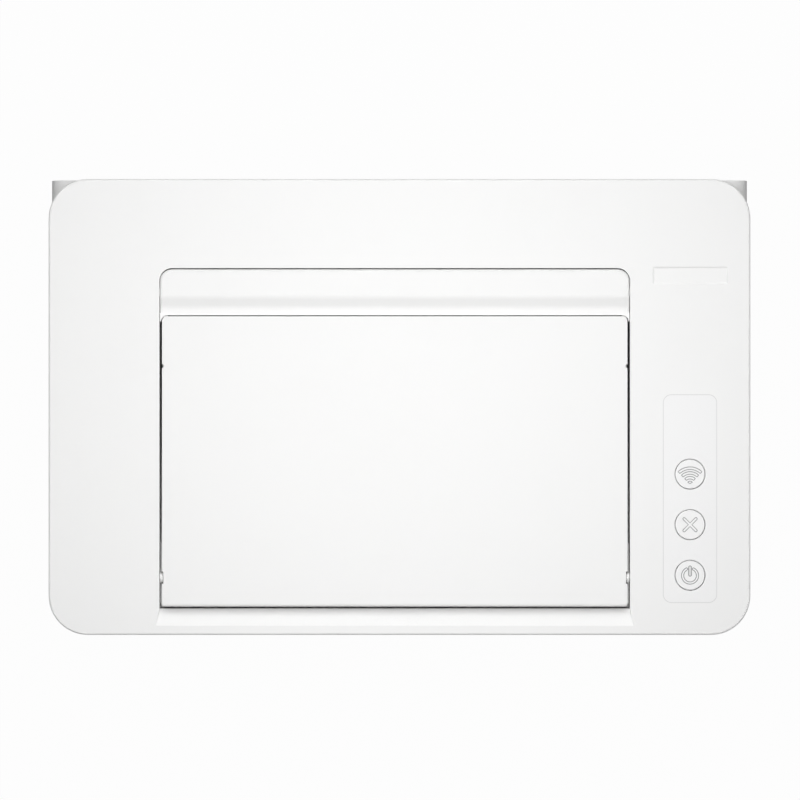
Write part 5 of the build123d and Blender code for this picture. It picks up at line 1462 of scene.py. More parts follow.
@dataclass
class PaperTray(Trim):
    """Marks and ribs of the paper tray, its lifting plate and its two guides.

    Args:
        floor_top: height of the tray's floor and of the lifting plate.
        rib_reach: from the paper's middle to the outermost floor rib.
        rib_count: number of floor ribs.
        rib_y: span of a floor rib.
        rib_size: half width, height and corner radius of a floor rib.
        sink: how far ribs and beads reach into the floor.
        paper_halves: half of each paper width that has a mark.
        mark_y: span of a mark.
        mark_size: half width and height of a mark.
        arrow: half width of a mark's arrow, and place of its foot.
        film_sink: how far marks and the pad reach into the floor.
        bead_x: place of each bead of the lifting plate.
        bead_y: span of a bead.
        bead_size: half width, height and corner radius of a bead.
        pad: spans of the pad that the last sheet rests on.
        pad_size: height and corner radius of the pad.
        guide_face: from the paper's middle to the outer face of a guide.
        guide_rib_y: places of the first and the last rib of a guide.
        guide_rib_count: number of its ribs.
        guide_rib_depth: how far a rib reaches into the guide and out of it.
        guide_rib_z: foot of a rib, its top away from the wall, and its top at the wall.
        guide_rib_half: half the width of a rib.
        grip: thickness of the finger grip, and its spans along Y and Z.
        grip_corner: its corner radius.
        grip_lines: height of each line across the grip.
        line_y: span of a line.
        line_size: how far a line stands out, half its height, and its corner radius.
    """

    floor_top: float = 16.5
    rib_reach: float = 30.0
    rib_count: int = 6
    rib_y: Span = (-95.0, -31.0)
    rib_size: Triple = (0.7, 0.5, 0.6)
    sink: float = 0.2
    paper_halves: tuple[float, ...] = (105.0, 91.0, 74.0, 52.5)
    mark_y: Span = (-95.5, -91.5)
    mark_size: Point = (0.25, 0.04)
    arrow: Point = (1.3, -90.6)
    film_sink: float = 0.1
    bead_x: tuple[float, ...] = (-92, -72, -46, 41.5, 67.5, 87.5)
    bead_y: Span = (-18.0, 30.0)
    bead_size: Triple = (1.6, 0.55, 1.5)
    pad: tuple[Span, Span] = ((-22.0, 17.5), (19.0, 33.0))
    pad_size: Point = (0.9, 1.2)
    guide_face: float = 108.5
    guide_rib_y: Span = (-84.0, -47.0)
    guide_rib_count: int = 4
    guide_rib_depth: Span = (0.2, 1.5)
    guide_rib_z: Triple = (17.4, 30.0, 40.5)
    guide_rib_half: float = 0.6
    grip: tuple[float, Span, Span] = (3.0, (-74.0, -57.0), (41.5, 47.0))
    grip_corner: float = 1.4
    grip_lines: tuple[float, ...] = (43.2, 44.6, 46.0)
    line_y: Span = (-72.5, -58.5)
    line_size: Triple = (0.35, 0.3, 0.3)

    def build(self) -> None:
        """Builds the tray's trim."""
        self.floor()
        self.lift()
        self.guide(Body.GUIDE_LEFT, "left", -1)
        self.guide(Body.GUIDE_RIGHT, "right", 1)

    def floor(self) -> None:
        """Builds the ribs between the guides and the marks of the paper widths."""
        ribs = Form("tray_floor_ribs", "tray_grey", Body.PRINTER)
        half, high, corner = self.rib_size
        rib_z = (self.floor_top - self.sink, self.floor_top + high)
        for x in spread(PATH_X - self.rib_reach, PATH_X + self.rib_reach, self.rib_count):
            ribs.block((x - half, x + half), self.rib_y, rib_z, corner)
        ribs.done(self.workshop)
        marks = Form("tray_width_marks", "tie_white", Body.PRINTER, edge=0.0)
        line, film = self.mark_size
        mark_z = (self.floor_top - self.film_sink, self.floor_top + film)
        wide, foot = self.arrow
        for paper_half in self.paper_halves:
            for side in (-1, 1):
                x = PATH_X + side * paper_half
                marks.block((x - line, x + line), self.mark_y, mark_z)
                marks.prism([(x - wide, foot), (x, self.mark_y[1]), (x + wide, foot)], Axis.Z, *mark_z)
        marks.done(self.workshop)

    def lift(self) -> None:
        """Builds the beads of the lifting plate and the pad that the last sheet rests on."""
        beads = Form("lift_plate_beads", "tray_grey", Body.LIFT)
        half, high, corner = self.bead_size
        bead_z = (self.floor_top - self.sink, self.floor_top + high)
        for x in self.bead_x:
            beads.block((x - half, x + half), self.bead_y, bead_z, corner)
        beads.done(self.workshop)
        pad = Form("lift_plate_pad", "cork", Body.LIFT, edge=0.25)
        high, corner = self.pad_size
        pad.block(*self.pad, (self.floor_top - self.film_sink, self.floor_top + high), corner)
        pad.done(self.workshop)

    def guide(self, body: Body, name: str, side: int) -> None:
        """Builds the ribs and the finger grip of a guide.

        Args:
            body: body that it rides on.
            name: first word of the piece's name.
            side: -1 for left, 1 for right.
        """
        form = Form(f"{name}_guide_ribs", "tray_grey", body)
        outer = PATH_X + side * self.guide_face
        inward, outward = self.guide_rib_depth
        near, far = sorted((outer - side * inward, outer + side * outward))
        foot, low, high = self.guide_rib_z
        outline = [(near, foot), (far, foot), (far, low), (near, high)][::side]
        half = self.guide_rib_half
        for y in spread(*self.guide_rib_y, self.guide_rib_count):
            form.prism(outline, Axis.Y, y - half, y + half)
        thick, grip_y, grip_z = self.grip
        grip_x = tuple(sorted((outer, outer - side * thick)))
        form.block(grip_x, grip_y, grip_z, self.grip_corner)
        proud, half, corner = self.line_size
        for z in self.grip_lines:
            form.block((grip_x[0] - proud, grip_x[1] + proud), self.line_y, (z - half, z + half), corner)
        form.done(self.workshop)


@dataclass
class DoorLinings(Trim):
    """Ribs inside the front door, on the paper support and inside the rear door.

    Args:
        front_y: span of the front door's ribs along Y.
        front_pairs: places of the two pairs of upright ribs at each end of that door.
        front_z: span of an upright rib.
        front_rows: height of each level rib.
        front_half: half the width of those ribs.
        support_reach: from the paper's middle to the outermost rib of the support.
        support_count: number of its ribs.
        support_half: half the width of a rib.
        support_rib: its spans along Y and Z.
        support_grip: half width of the support's grip, and its spans along Y and Z.
        rear_outline: side outline of a rib of the rear door.
        rear_x: places of its first and last rib.
        rear_count: number of its ribs.
        rear_half: half the width of a rib.
        lever_x: place of each release lever.
        lever_plate: half width of a lever's plate, its spans along Y and Z, and its corner radius.
        lever_tab: the same of the tab on it.
    """

    front_y: Span = (-104.7, -102.6)
    front_pairs: tuple[Span, Span] = ((109.0, 117.0), (134.0, 141.0))
    front_z: Span = (27.0, 74.0)
    front_rows: tuple[float, ...] = (27.6, 50.5, 73.4)
    front_half: float = 0.6
    support_reach: float = 84.0
    support_count: int = 9
    support_half: float = 0.8
    support_rib: tuple[Span, Span] = ((-102.1, -101.35), (22.0, 71.5))
    support_grip: tuple[float, Span, Span] = (14.0, (-99.6, -98.0), (72.9, 74.3))
    rear_outline: tuple[Point, ...] = (
        (104.9, 36.0), (104.9, 135.5), (101.6, 133.0), (100.0, 122.0), (99.3, 108.0), (99.3, 72.0),
        (100.3, 54.0), (102.6, 40.0))
    rear_x: Span = (-86.0, 81.5)
    rear_count: int = 11
    rear_half: float = 0.7
    lever_x: Span = (-102.0, 97.5)
    lever_plate: tuple[float, Span, Span, float] = (5.0, (93.6, 95.0), (116.0, 134.0), 1.5)
    lever_tab: tuple[float, Span, Span, float] = (3.6, (94.6, 98.4), (127.0, 131.0), 1.2)

    def build(self) -> None:
        """Builds the linings."""
        self.front()
        self.support()
        self.rear()

    def front(self) -> None:
        """Builds the stiffening ribs at both ends of the front door."""
        form = Form("front_door_ribs", "shell_white", Body.FRONT_DOOR)
        half = self.front_half
        for side in (-1, 1):
            for x in self.front_pairs[0] + self.front_pairs[1]:
                form.block((side * x - half, side * x + half), self.front_y, self.front_z)
            for near, far in self.front_pairs:
                for z in self.front_rows:
                    form.block(tuple(sorted((side * near, side * far))), self.front_y, (z - half, z + half))
        form.done(self.workshop)

    def support(self) -> None:
        """Builds the ribs that the paper slides on, and the grip."""
        form = Form("support_ribs", "tray_grey", Body.SUPPORT)
        half = self.support_half
        for x in spread(PATH_X - self.support_reach, PATH_X + self.support_reach, self.support_count):
            form.block((x - half, x + half), *self.support_rib)
        grip, grip_y, grip_z = self.support_grip
        form.block((PATH_X - grip, PATH_X + grip), grip_y, grip_z)
        form.done(self.workshop)

    def rear(self) -> None:
        """Builds the curved ribs that guide the sheet, and the two release levers."""
        form = Form("rear_door_ribs", "shell_white", Body.BACK_DOOR)
        for x in spread(*self.rear_x, self.rear_count):
            form.prism(self.rear_outline, Axis.X, x - self.rear_half, x + self.rear_half)
        form.done(self.workshop)
        levers = Form("fuser_release_levers", "latch_green", Body.PRINTER, edge=0.4)
        for x in self.lever_x:
            for (half, y, z, corner), axis in ((self.lever_plate, Axis.Y), (self.lever_tab, Axis.X)):
                levers.block((x - half, x + half), y, z, corner, axis)
        levers.done(self.workshop)


# Works inside


@dataclass
class CartridgeTrim(Trim):
    """Ribs, grip lines and the bare label of the toner cartridge.

    Args:
        front: place and height of the front edge of its sloping top (y, z).
        rear: place and height of the rear edge of that slope.
        rib_x: places of the first and the last rib of each field of ribs.
        rib_count: number of ribs in a field.
        rib_y: span of a rib along the slope.
        rib_z: how far a rib reaches into the slope and above it.
        rib_half: half the width of a rib.
        field_x: spans of the rails that close the fields.
        rail_y: front of each rail.
        rail_wide: its width.
        label_y: span of the label along the slope.
        label_z: how far the label reaches into the slope and above it.
        label_x: span of the label across.
        back_x: places of the first and the last rib at the rear.
        back_count: number of those ribs.
        back_half: half their width.
        back_rib: their spans along Y and Z.
    """

    front: Point = (-34.0, 116.0)
    rear: Point = (30.0, 102.0)
    rib_x: tuple[Span, Span] = ((-108.0, -58.0), (53.5, 103.5))
    rib_count: int = 6
    rib_y: Span = (-30.0, 27.0)
    rib_z: Span = (-0.2, 1.2)
    rib_half: float = 0.7
    field_x: tuple[Span, Span] = ((-108.6, -57.4), (52.9, 104.1))
    rail_y: Span = (-30.0, 26.0)
    rail_wide: float = 1.2
    label_y: Span = (-7.0, 24.0)
    label_z: Span = (-0.05, 0.12)
    label_x: Span = (-46.0, 41.5)
    back_x: Span = (-104.0, 99.5)
    back_count: int = 16
    back_half: float = 0.6
    back_rib: tuple[Span, Span] = ((44.8, 46.0), (83.0, 94.5))

    def slab(self, y: Span, z: Span) -> list[Point]:
        """Returns the side outline of something that lies on the slope."""
        near, far = (slope_height(self.front, self.rear, place) for place in y)
        return [(y[0], near + z[0]), (y[1], far + z[0]), (y[1], far + z[1]), (y[0], near + z[1])]

    def build(self) -> None:
        """Builds the trim."""
        ribs = Form("cartridge_ribs", "cartridge_black", Body.PRINTER)
        for first, last in self.rib_x:
            for x in spread(first, last, self.rib_count):
                ribs.prism(self.slab(self.rib_y, self.rib_z), Axis.X, x - self.rib_half, x + self.rib_half)
        for y in self.rail_y:
            for x in self.field_x:
                ribs.prism(self.slab((y, y + self.rail_wide), self.rib_z), Axis.X, *x)
        ribs.done(self.workshop)
        label = Form("cartridge_bare_label", "label", Body.PRINTER, edge=0.0)
        label.prism(self.slab(self.label_y, self.label_z), Axis.X, *self.label_x)
        label.done(self.workshop)
        rear = Form("cartridge_rear_ribs", "cartridge_black", Body.PRINTER)
        for x in spread(*self.back_x, self.back_count):
            rear.block((x - self.back_half, x + self.back_half), *self.back_rib)
        rear.done(self.workshop)


@dataclass
class FuserTrim(Trim):
    """Fins and screws on the fuser.

    Args:
        top: height of the fuser's frame.
        rear: its rear face.
        fin_x: places of the first and the last fin.
        fin_count: number of fins.
        fin_half: half the width of a fin.
        fin_y: span of the fins on top.
        fin_high: height of the fins on top, and of those at the rear.
        fin_sink: how far a fin reaches into the frame.
        rear_fin_z: span of the fins at the rear.
        screw_x: place of each screw across.
        screw_y: place of the screws along Y.
        head: side profile of a screw head, as heights above the frame and radii.
    """

    top: float = 139.5
    rear: float = 94.0
    fin_x: Span = (-84.0, 79.5)
    fin_count: int = 20
    fin_half: float = 0.5
    fin_y: Span = (70.0, 92.0)
    fin_high: Point = (1.4, 1.2)
    fin_sink: float = 0.2
    rear_fin_z: Span = (136.2, 139.0)
    screw_x: Span = (-106.0, 101.5)
    screw_y: float = 82.0
    head: tuple[Point, ...] = ((-0.3, 0), (-0.3, 3.2), (0.6, 3.2), (1.4, 2.2), (1.5, 0))

    def build(self) -> None:
        """Builds the trim."""
        fins = Form("fuser_fins", "scanner_black", Body.PRINTER)
        top_z = (self.top - self.fin_sink, self.top + self.fin_high[0])
        rear_y = (self.rear - self.fin_sink, self.rear + self.fin_high[1])
        for x in spread(*self.fin_x, self.fin_count):
            fin = (x - self.fin_half, x + self.fin_half)
            fins.block(fin, self.fin_y, top_z)
            fins.block(fin, rear_y, self.rear_fin_z)
        fins.done(self.workshop)
        screws = Form("fuser_screws", "screw_steel", Body.PRINTER)
        for x in self.screw_x:
            screws.turned(lifted(self.head, self.top), Axis.Z, (x, self.screw_y))
        screws.done(self.workshop)


@dataclass
class ScannerTrim(Trim):
    """Beads, screws and the window of the laser scanner.

    Args:
        x: span of the scanner's lid across.
        y: its span along Y.
        top: height of the lid.
        mirror_y: place of the polygon mirror under it.
        bead_radii: outer and inner radius of the round bead.
        bead_high: height of the round bead and of the straight ones.
        bead_sink: how far a bead reaches into the lid.
        bead_x: distance of the ends of a straight bead from the lid's middle.
        bead_y: places of those ends along Y.
        bead_wide: width of a straight bead.
        screw_inset: from the edges of the lid to a screw.
        head: side profile of a screw head, as heights above the lid and radii.
        window_inset: from the ends of the lid to the window.
        window: spans of the window along Y and Z.
    """

    x: Span = (-99.75, 95.25)
    y: Span = (-88.9, -42.0)
    top: float = 128.0
    mirror_y: float = -74.9
    bead_radii: Point = (12.6, 10.8)
    bead_high: Point = (0.7, 0.6)
    bead_sink: float = 0.1
    bead_x: Span = (17, 88)
    bead_y: Span = (-82, -50)
    bead_wide: float = 2.2
    screw_inset: float = 5.0
    head: tuple[Point, ...] = ((-0.2, 0), (-0.2, 2.9), (0.7, 2.9), (1.5, 2.0), (1.6, 1.1), (1.0, 0))
    window_inset: float = 8.2
    window: tuple[Span, Span] = ((-43.5, -42.5), (116.1, 120.9))

    def build(self) -> None:
        """Builds the trim."""
        middle = (sum(self.x) / 2, self.mirror_y)
        beads = Form("scanner_lid_beads", "frame_metal", Body.PRINTER, edge=0.3)
        outer, inner = (circle(middle, radius, 48) for radius in self.bead_radii)
        low = self.top - self.bead_sink
        beads.ring(outer, inner, Axis.Z, low, self.top + self.bead_high[0])
        (near_x, far_x), (near_y, far_y) = self.bead_x, self.bead_y
        for side in (-1, 1):
            for start_y, end_y in ((near_y, far_y), (far_y, near_y)):
                start = (middle[0] + side * near_x, start_y)
                end = (middle[0] + side * far_x, end_y)
                beads.prism(capsule(start, end, self.bead_wide), Axis.Z, low, self.top + self.bead_high[1])
        beads.done(self.workshop)
        screws = Form("scanner_screws", "screw_steel", Body.PRINTER)
        inset = self.screw_inset
        for x in (self.x[0] + inset, self.x[1] - inset):
            for y in (self.y[0] + inset, self.y[1] - inset):
                screws.turned(lifted(self.head, self.top), Axis.Z, (x, y))
        screws.done(self.workshop)
        glass = Form("scanner_window", "clear_glass", Body.PRINTER, edge=0.1)
        glass.block((self.x[0] + self.window_inset, self.x[1] - self.window_inset), *self.window)
        glass.done(self.workshop)


@dataclass
class DriveTrim(Trim):
    """Spokes and rims of the gears, and the cap of the motor.

    Args:
        gear_end: outer face of the gears.
        gears: body, centre (y, z) and root radius of each gear that gets spokes.
        spoke_x: how far rims, hubs and spokes reach into the gear and out of it.
        rim: width of a rim.
        hub: outer and inner radius of a hub.
        spoke: inner end of a spoke, its outer end inside the root circle, and its width.
        motor: axis of the motor (y, z).
        motor_end: outer face of the motor.
        cap_profile: side profile of the motor's cap, as distances beyond the motor and radii.
        terminals: spans of the terminal block along X and, from the motor's axis, along Y and Z.
        terminal_corner: its corner radius.
        slot_x: span of a slot of the block along X.
        slot_pitch: distance between slots.
        slot_half: half the width of a slot.
        slot_z: its span along Z, from the motor's axis.
    """

    gear_end: float = 122.0
    gears: tuple[tuple[Body, Point, float], ...] = (
        (Body.MAIN_GEAR, (23.53, 98.08), 20.6), (Body.DRUM, (58.0, 92.0), 11.6),
        (Body.HEATER, (59.6, 126.0), 11.1), (Body.PICKUP, (28.0, 48.0), 11.6), (Body.FEED, (60.0, 66.0), 8.6))
    spoke_x: Span = (0.1, 0.8)
    rim: float = 1.4
    hub: Point = (5.4, 4.2)
    spoke: Triple = (5.2, 1.2, 1.1)
    motor: Point = (-2.78, 107.65)
    motor_end: float = 148.5
    cap_profile: tuple[Point, ...] = (
        (-0.2, 0), (-0.2, 17.0), (0.4, 16.6), (0.5, 6.4), (1.8, 6.0), (2.0, 3.4), (1.2, 3.2), (1.2, 0))
    terminals: tuple[Span, Span, Span] = ((136.0, 145.0), (-7.0, 7.0), (-21.5, -17.4))
    terminal_corner: float = 0.5
    slot_x: Span = (138.0, 143.0)
    slot_pitch: float = 2.5
    slot_half: float = 0.7
    slot_z: Span = (-22.3, -21.4)

    def build(self) -> None:
        """Builds the trim."""
        for body, centre, radius in self.gears:
            self.spokes(body, centre, radius)
        self.cap()

    def spokes(self, body: Body, centre: Point, radius: float) -> None:
        """Builds the rim, hub and spokes on the face of a gear.

        Args:
            body: body of the gear.
            centre: its axis (y, z).
            radius: its root radius.
        """
        form = Form(f"{body.value}_gear_spokes", "gear_white", body)
        face = (self.gear_end - self.spoke_x[0], self.gear_end + self.spoke_x[1])
        start, inset, wide = self.spoke
        form.ring(circle(centre, radius, 48), circle(centre, radius - self.rim, 48), Axis.X, *face)
        form.ring(circle(centre, self.hub[0], 32), circle(centre, self.hub[1], 32), Axis.X, *face)
        for turn in range(0, 360, 60):
            cos, sin = math.cos(math.radians(turn)), math.sin(math.radians(turn))
            ends = [(centre[0] + cos * reach, centre[1] + sin * reach) for reach in (start, radius - inset)]
            form.prism(capsule(*ends, wide, 4), Axis.X, *face)
        form.done(self.workshop)

    def cap(self) -> None:
        """Builds the motor's cap with its bearing, and its terminal block."""
        form = Form("motor_cap", "motor_metal", Body.PRINTER, edge=0.2)
        form.turned(lifted(self.cap_profile, self.motor_end), Axis.X, self.motor, 48)
        form.done(self.workshop)
        block = Form("motor_terminals", "tie_white", Body.PRINTER)
        y, z = self.motor
        block_x, block_y, block_z = self.terminals
        block.block(block_x, (y + block_y[0], y + block_y[1]), (z + block_z[0], z + block_z[1]),
                    self.terminal_corner)
        slot_z = (z + self.slot_z[0], z + self.slot_z[1])
        for step in range(-2, 3):
            middle = y + step * self.slot_pitch
            block.block(self.slot_x, (middle - self.slot_half, middle + self.slot_half), slot_z)
        block.done(self.workshop)


@dataclass
class BoardTrim(Trim):
    """Small parts soldered to the circuit boards.

    Args:
        face: side of the boards that carries the parts.
        sink: how far the parts reach into a board.
        main: spans of the main board along Y and Z.
        power: spans of the power board along Y and Z.
        chips: place (y, z) and size of each chip.
        chip_high: height of a chip.
        leg_high: height of a leg, and of the smallest parts.
        leg_half: half the width of a leg.
        leg_reach: how far a leg stands out from its chip.
        leg_inset: from the corner of a chip to its first leg.
        seed: seed of the places of the smallest parts.
        counts: number of the smallest parts on the main and on the power board.
        margin: from the edge of a board to those parts.
        part_half: half the length and half the width of such a part.
        body_high: height of the body between its two ends.
        body_share: share of the part's length and width that the body has.
        capacitors: place of each capacitor, as a share of the power board.
        capacitor_profile: side profile of its sleeve, as heights over the board and radii.
    """

    face: float = -127.6
    sink: float = 0.1
    main: tuple[Span, Span] = ((5.0, 102.3), (56.0, 150.0))
    power: tuple[Span, Span] = ((-72.0, 80.0), (11.0, 49.0))
    chips: tuple[Triple, ...] = (
        (28.0, 138.0, 7.0), (88.0, 134.0, 9.0), (18.0, 74.0, 8.0), (92.0, 84.0, 6.0))
    chip_high: float = 1.4
    leg_high: float = 0.5
    leg_half: float = 0.2
    leg_reach: float = 1.0
    leg_inset: float = 0.8
    seed: int = 7
    counts: tuple[int, int] = (90, 60)
    margin: float = 3.0
    part_half: Point = (0.9, 0.5)
    body_high: float = 0.6
    body_share: Point = (0.6, 1.02)
    capacitors: tuple[float, ...] = (0.09, 0.59, 0.71)
    capacitor_profile: tuple[Point, ...] = ((0.0, 8.15), (22.6, 8.15), (23.6, 7.4), (23.6, 8.0), (0.0, 8.0))

    def build(self) -> None:
        """Builds the parts of both boards."""
        self.packages()
        self.smallest()
        caps = Form("power_board_sleeves", "sleeve", Body.PRINTER, edge=0.3)
        profile = [(self.face - high, radius) for high, radius in self.capacitor_profile]
        start, end = self.power[0]
        for share in self.capacitors:
            caps.turned(profile, Axis.X, (start + share * (end - start), sum(self.power[1]) / 2), 40)
        caps.done(self.workshop)

    def outward(self, high: float) -> Span:
        """Returns the span along X of a part that is so high."""
        return (self.face - high, self.face + self.sink)

    def packages(self) -> None:
        """Builds the chips and their legs."""
        legs = Form("board_chip_legs", "contact", Body.PRINTER, edge=0.0)
        chips = Form("board_chips", "chip", Body.PRINTER, edge=0.15)
        x = self.outward(self.leg_high)
        half = self.leg_half
        for y, z, size in self.chips:
            edge = size / 2
            chips.block(self.outward(self.chip_high), (y - edge, y + edge), (z - edge, z + edge))
            for step in spread(-edge + self.leg_inset, edge - self.leg_inset, int(size)):
                for side in (-1, 1):
                    near, far = sorted((side * edge, side * (edge + self.leg_reach)))
                    legs.block(x, (y + near, y + far), (z + step - half, z + step + half))
                    legs.block(x, (y + step - half, y + step + half), (z + near, z + far))
        chips.done(self.workshop)
        legs.done(self.workshop)

    def smallest(self) -> None:
        """Scatters the smallest parts, which lie along or across the board."""
        draw = random.Random(self.seed)
        small = Form("board_small_parts", "contact", Body.PRINTER, edge=0.0)
        bodies = Form("board_small_bodies", "sleeve", Body.PRINTER, edge=0.0)
        narrow, broad = self.body_share
        for (y_span, z_span), count in zip((self.main, self.power), self.counts):
            for _ in range(count):
                y = draw.uniform(y_span[0] + self.margin, y_span[1] - self.margin)
                z = draw.uniform(z_span[0] + self.margin, z_span[1] - self.margin)
                long, wide = self.part_half if draw.random() < 0.5 else self.part_half[::-1]
                small.block(self.outward(self.leg_high), (y - long, y + long), (z - wide, z + wide))
                bodies.block(self.outward(self.body_high), (y - long * narrow, y + long * narrow),
                             (z - wide * broad, z + wide * broad))
        small.done(self.workshop)
        bodies.done(self.workshop)


@dataclass
class Ports(Trim):
    """Tinned pins of the mains inlet, and the sleeve, tongue and contacts of the data socket.

    Args:
        inlet: middle of the mains inlet (x, z).
        pins: place of each pin from there.
        pin_half: half the width and half the height of a pin.
        pin_y: span of a pin along Y.
        socket_x: span of the data socket across.
        socket_z: its span along Z.
        socket_y: its span along Y.
        rim: thickness of the socket's wall.
        skin: thickness of the sleeve over that wall.
        corners: outer and inner corner radius of the sleeve.
        tongue: half width, front end and half height of the tongue.
        back: thickness of the plate behind the tongue.
        contact_x: place of each contact from the middle of the socket.
        contact: half width, setback and half thickness of a contact.
    """

    inlet: Point = (-134.5, 35.0)
    pins: tuple[Point, ...] = ((-7.0, -2.0), (0.0, 2.0), (7.0, -2.0))
    pin_half: Point = (1.08, 2.08)
    pin_y: Span = (91.0, 104.5)
    socket_x: Span = (-139.60, -127.60)
    socket_z: Span = (60.5, 71.5)
    socket_y: Span = (95.3, 106.8)
    rim: float = 1.2
    skin: float = 0.06
    corners: Point = (0.5, 0.3)
    tongue: Triple = (2.06, 103.36, 1.66)
    back: float = 0.4
    contact_x: Span = (-1.1, 1.1)
    contact: Triple = (0.4, 1.0, 0.08)

    def build(self) -> None:
        """Builds the metal parts and the tongue."""
        form = Form("inlet_pins", "contact", Body.PRINTER, edge=0.35)
        wide, high = self.pin_half
        for across, up in self.pins:
            x, z = self.inlet[0] + across, self.inlet[1] + up
            form.block((x - wide, x + wide), self.pin_y, (z - high, z + high))
        form.done(self.workshop)
        self.socket()

    def socket(self) -> None:
        """Lines the data socket."""
        (x0, x1), (z0, z1), skin = self.socket_x, self.socket_z, self.skin
        near, far = self.socket_y
        sleeve = Form("data_socket_sleeve", "contact", Body.PRINTER, edge=0.0)
        outer = rounded((x0 - skin, x1 + skin), (z0 - skin, z1 + skin), self.corners[0])
        wall = self.rim + skin
        inside = ((x0 + wall, x1 - wall), (z0 + wall, z1 - wall))
        sleeve.ring(outer, rounded(*inside, self.corners[1]), Axis.Y, near, far + skin)
        sleeve.done(self.workshop)
        middle_x, middle_z = sum(self.socket_x) / 2, sum(self.socket_z) / 2
        wide, front, high = self.tongue
        tongue = Form("data_socket_tongue", "tie_white", Body.PRINTER, edge=0.1)
        tongue.block((middle_x - wide, middle_x + wide), (near, front), (middle_z - high, middle_z + high))
        tongue.block(inside[0], (near, near + self.back), inside[1])
        tongue.done(self.workshop)
        contacts = Form("data_socket_contacts", "contact", Body.PRINTER, edge=0.0)
        half, setback, thin = self.contact
        for across in self.contact_x:
            for up in (-high, high):
                x, z = middle_x + across, middle_z + up
                contacts.block((x - half, x + half), (near, front - setback), (z - thin, z + thin))
        contacts.done(self.workshop)


# Underside and sides


@dataclass
class Underside(Trim):
    """Ribs, marks and the bare plate under the base.

    Args:
        low: lower edge of the ribs.
        base: underside of the base, with an overlap.
        cross_y: place of each rib that runs across.
        cross_reach: half length of the ribs across near the feet, and of the others.
        feet_from: from which distance the feet make those ribs shorter.
        long_x: place of each rib that runs from front to rear.
        long_y: span of those ribs.
        rib_half: half the width of a rib.
        feet: distance of the feet from the middle, across and along.
        foot_ring: outer and inner radius of the ring round a foot.
        plate: half sizes of the bare plate.
        plate_low: its lower face.
        plate_corner: its corner radius.
        marks_x: place of each column of marks of the ejector pins.
        marks_y: place of each row of marks.
        mark: radius of a mark at the base and at its lower face, and the height of that face.
    """

    low: float = 3.0
    base: float = 4.1
    cross_y: tuple[float, ...] = (-92.0, -60.0, -30.0, 30.0, 60.0, 92.0)
    cross_reach: Point = (118.0, 155.0)
    feet_from: float = 60.0
    long_x: tuple[float, ...] = (-110.0, -70.0, 70.0, 110.0)
    long_y: Span = (-98.0, 98.0)
    rib_half: float = 0.7
    feet: Point = (135.5, 77.5)
    foot_ring: Point = (12.2, 10.4)
    plate: Point = (45.0, 22.0)
    plate_low: float = 3.75
    plate_corner: float = 2.5
    marks_x: tuple[float, ...] = (-132.5, -90.0, 90.0, 132.5)
    marks_y: tuple[float, ...] = (-45.0, 0.0, 45.0)
    mark: Triple = (4.0, 3.7, 3.8)

    def build(self) -> None:
        """Builds the ribs, the ejector marks and the plate."""
        ribs = Form("base_ribs", "base_grey", Body.PRINTER)
        z = (self.low, self.base)
        half = self.rib_half
        for y in self.cross_y:
            reach = self.cross_reach[0] if abs(y) > self.feet_from else self.cross_reach[1]
            ribs.block((-reach, reach), (y - half, y + half), z)
        for x in self.long_x:
            ribs.block((x - half, x + half), self.long_y, z)
        ribs.done(self.workshop)
        rings = Form("foot_rings", "base_grey", Body.PRINTER)
        for x in (-self.feet[0], self.feet[0]):
            for y in (-self.feet[1], self.feet[1]):
                outer, inner = (circle((x, y), radius, 48) for radius in self.foot_ring)
                rings.ring(outer, inner, Axis.Z, *z)
        rings.done(self.workshop)
        plate = Form("base_bare_plate", "label", Body.PRINTER, edge=0.1)
        wide, long = self.plate
        plate.block((-wide, wide), (-long, long), (self.plate_low, self.base), self.plate_corner)
        plate.done(self.workshop)
        marks = Form("base_pin_marks", "base_grey", Body.PRINTER, edge=0.05)
        foot, face, low = self.mark
        for x in self.marks_x:
            for y in self.marks_y:
                marks.turned([(self.base, 0), (self.base, foot), (low, face), (low, 0)], Axis.Z, (x, y))
        marks.done(self.workshop)


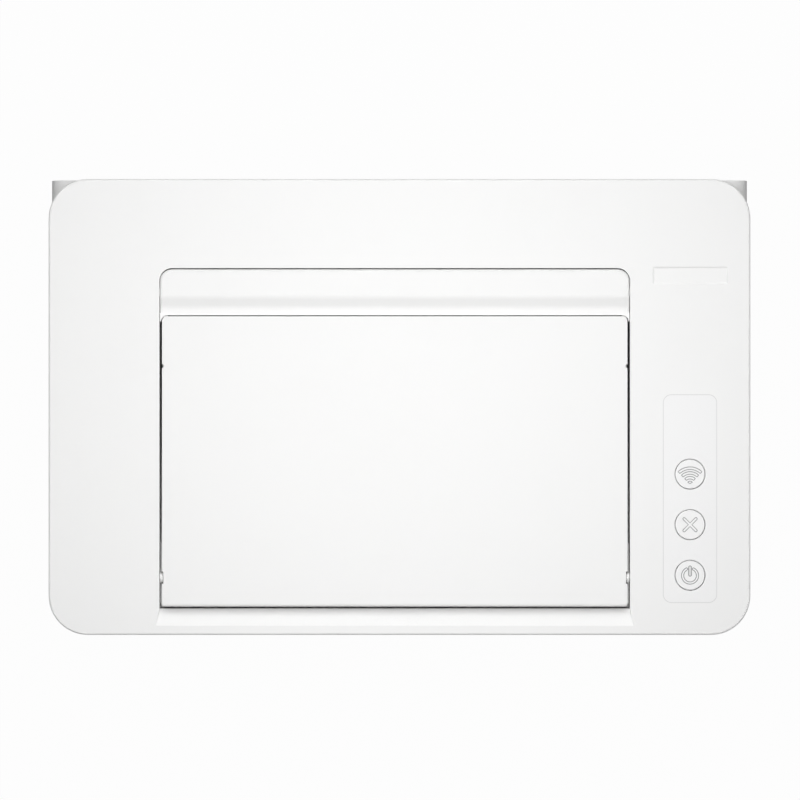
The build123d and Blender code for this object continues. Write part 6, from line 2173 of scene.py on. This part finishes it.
@dataclass
class VentMesh(Trim):
    """Fine mesh behind the vents of the right cover, and the cap of the fan's hub.

    Args:
        x: span of the mesh along X.
        y: its span along Y.
        z: its span along Z.
        counts: number of upright and of level wires.
        wire_half: half the width of a wire.
        fan: axis of the fan (y, z).
        cap: side profile of the cap, as places along X and radii.
    """

    x: Span = (161.9, 162.4)
    y: Span = (18.0, 72.0)
    z: Span = (85.5, 134.5)
    counts: tuple[int, int] = (28, 26)
    wire_half: float = 0.25
    fan: Point = (-50.0, 110.0)
    cap: tuple[Point, ...] = ((-161.4, 0), (-161.4, 9.0), (-161.75, 8.6), (-161.8, 0))

    def build(self) -> None:
        """Builds the mesh and the cap."""
        mesh = Form("vent_mesh", "chip", Body.PRINTER, edge=0.0)
        half = self.wire_half
        for y in spread(*self.y, self.counts[0]):
            mesh.block(self.x, (y - half, y + half), self.z)
        for z in spread(*self.z, self.counts[1]):
            mesh.block(self.x, self.y, (z - half, z + half))
        mesh.done(self.workshop)
        cap = Form("fan_hub_cap", "label", Body.FAN, edge=0.1)
        cap.turned(self.cap, Axis.X, self.fan, 40)
        cap.done(self.workshop)


SOFT_EDGES: dict[str, float] = {
    "top_frame": 0.3, "top_door": 0.25, "output_flap": 0.25, "left_cover": 0.3, "right_cover": 0.3,
    "front_cover": 0.3, "rear_cover": 0.3, "rear_door": 0.3, "tray_door": 0.3, "control_overlay": 0.2,
    "base_tray": 0.25, "tray_extension": 0.25, "rubber_feet": 0.2, "toner_cartridge": 0.4,
}


def packed_slots() -> dict[str, str]:
    """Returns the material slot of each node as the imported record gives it."""
    return {entry["node"]: entry["material_slot"] for entry in frame["record"]["subparts"]}


def main() -> None:
    """Builds the studio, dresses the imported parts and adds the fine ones."""
    Studio().build()
    log.info("studio built")
    workshop = Workshop()
    slots = packed_slots()
    for node in frame["nodes"]:
        workshop.dress(node, slots[node], SOFT_EDGES.get(node, 0.0))
    log.info("packed parts dressed: %d", len(slots))
    trims = (KeyPrint, PanelEdges, PaintedLightScoop, RearShoulders, PaperBin, FlapRibs, PaperTray, DoorLinings,
             CartridgeTrim, FuserTrim, ScannerTrim, DriveTrim, BoardTrim, Ports, Underside, VentMesh)
    for trim in trims:
        trim(workshop).build()
        log.info("%s built", trim.__name__)


if __name__ == "__main__":
    logging.basicConfig(level=logging.INFO, format="%(message)s")
    main()
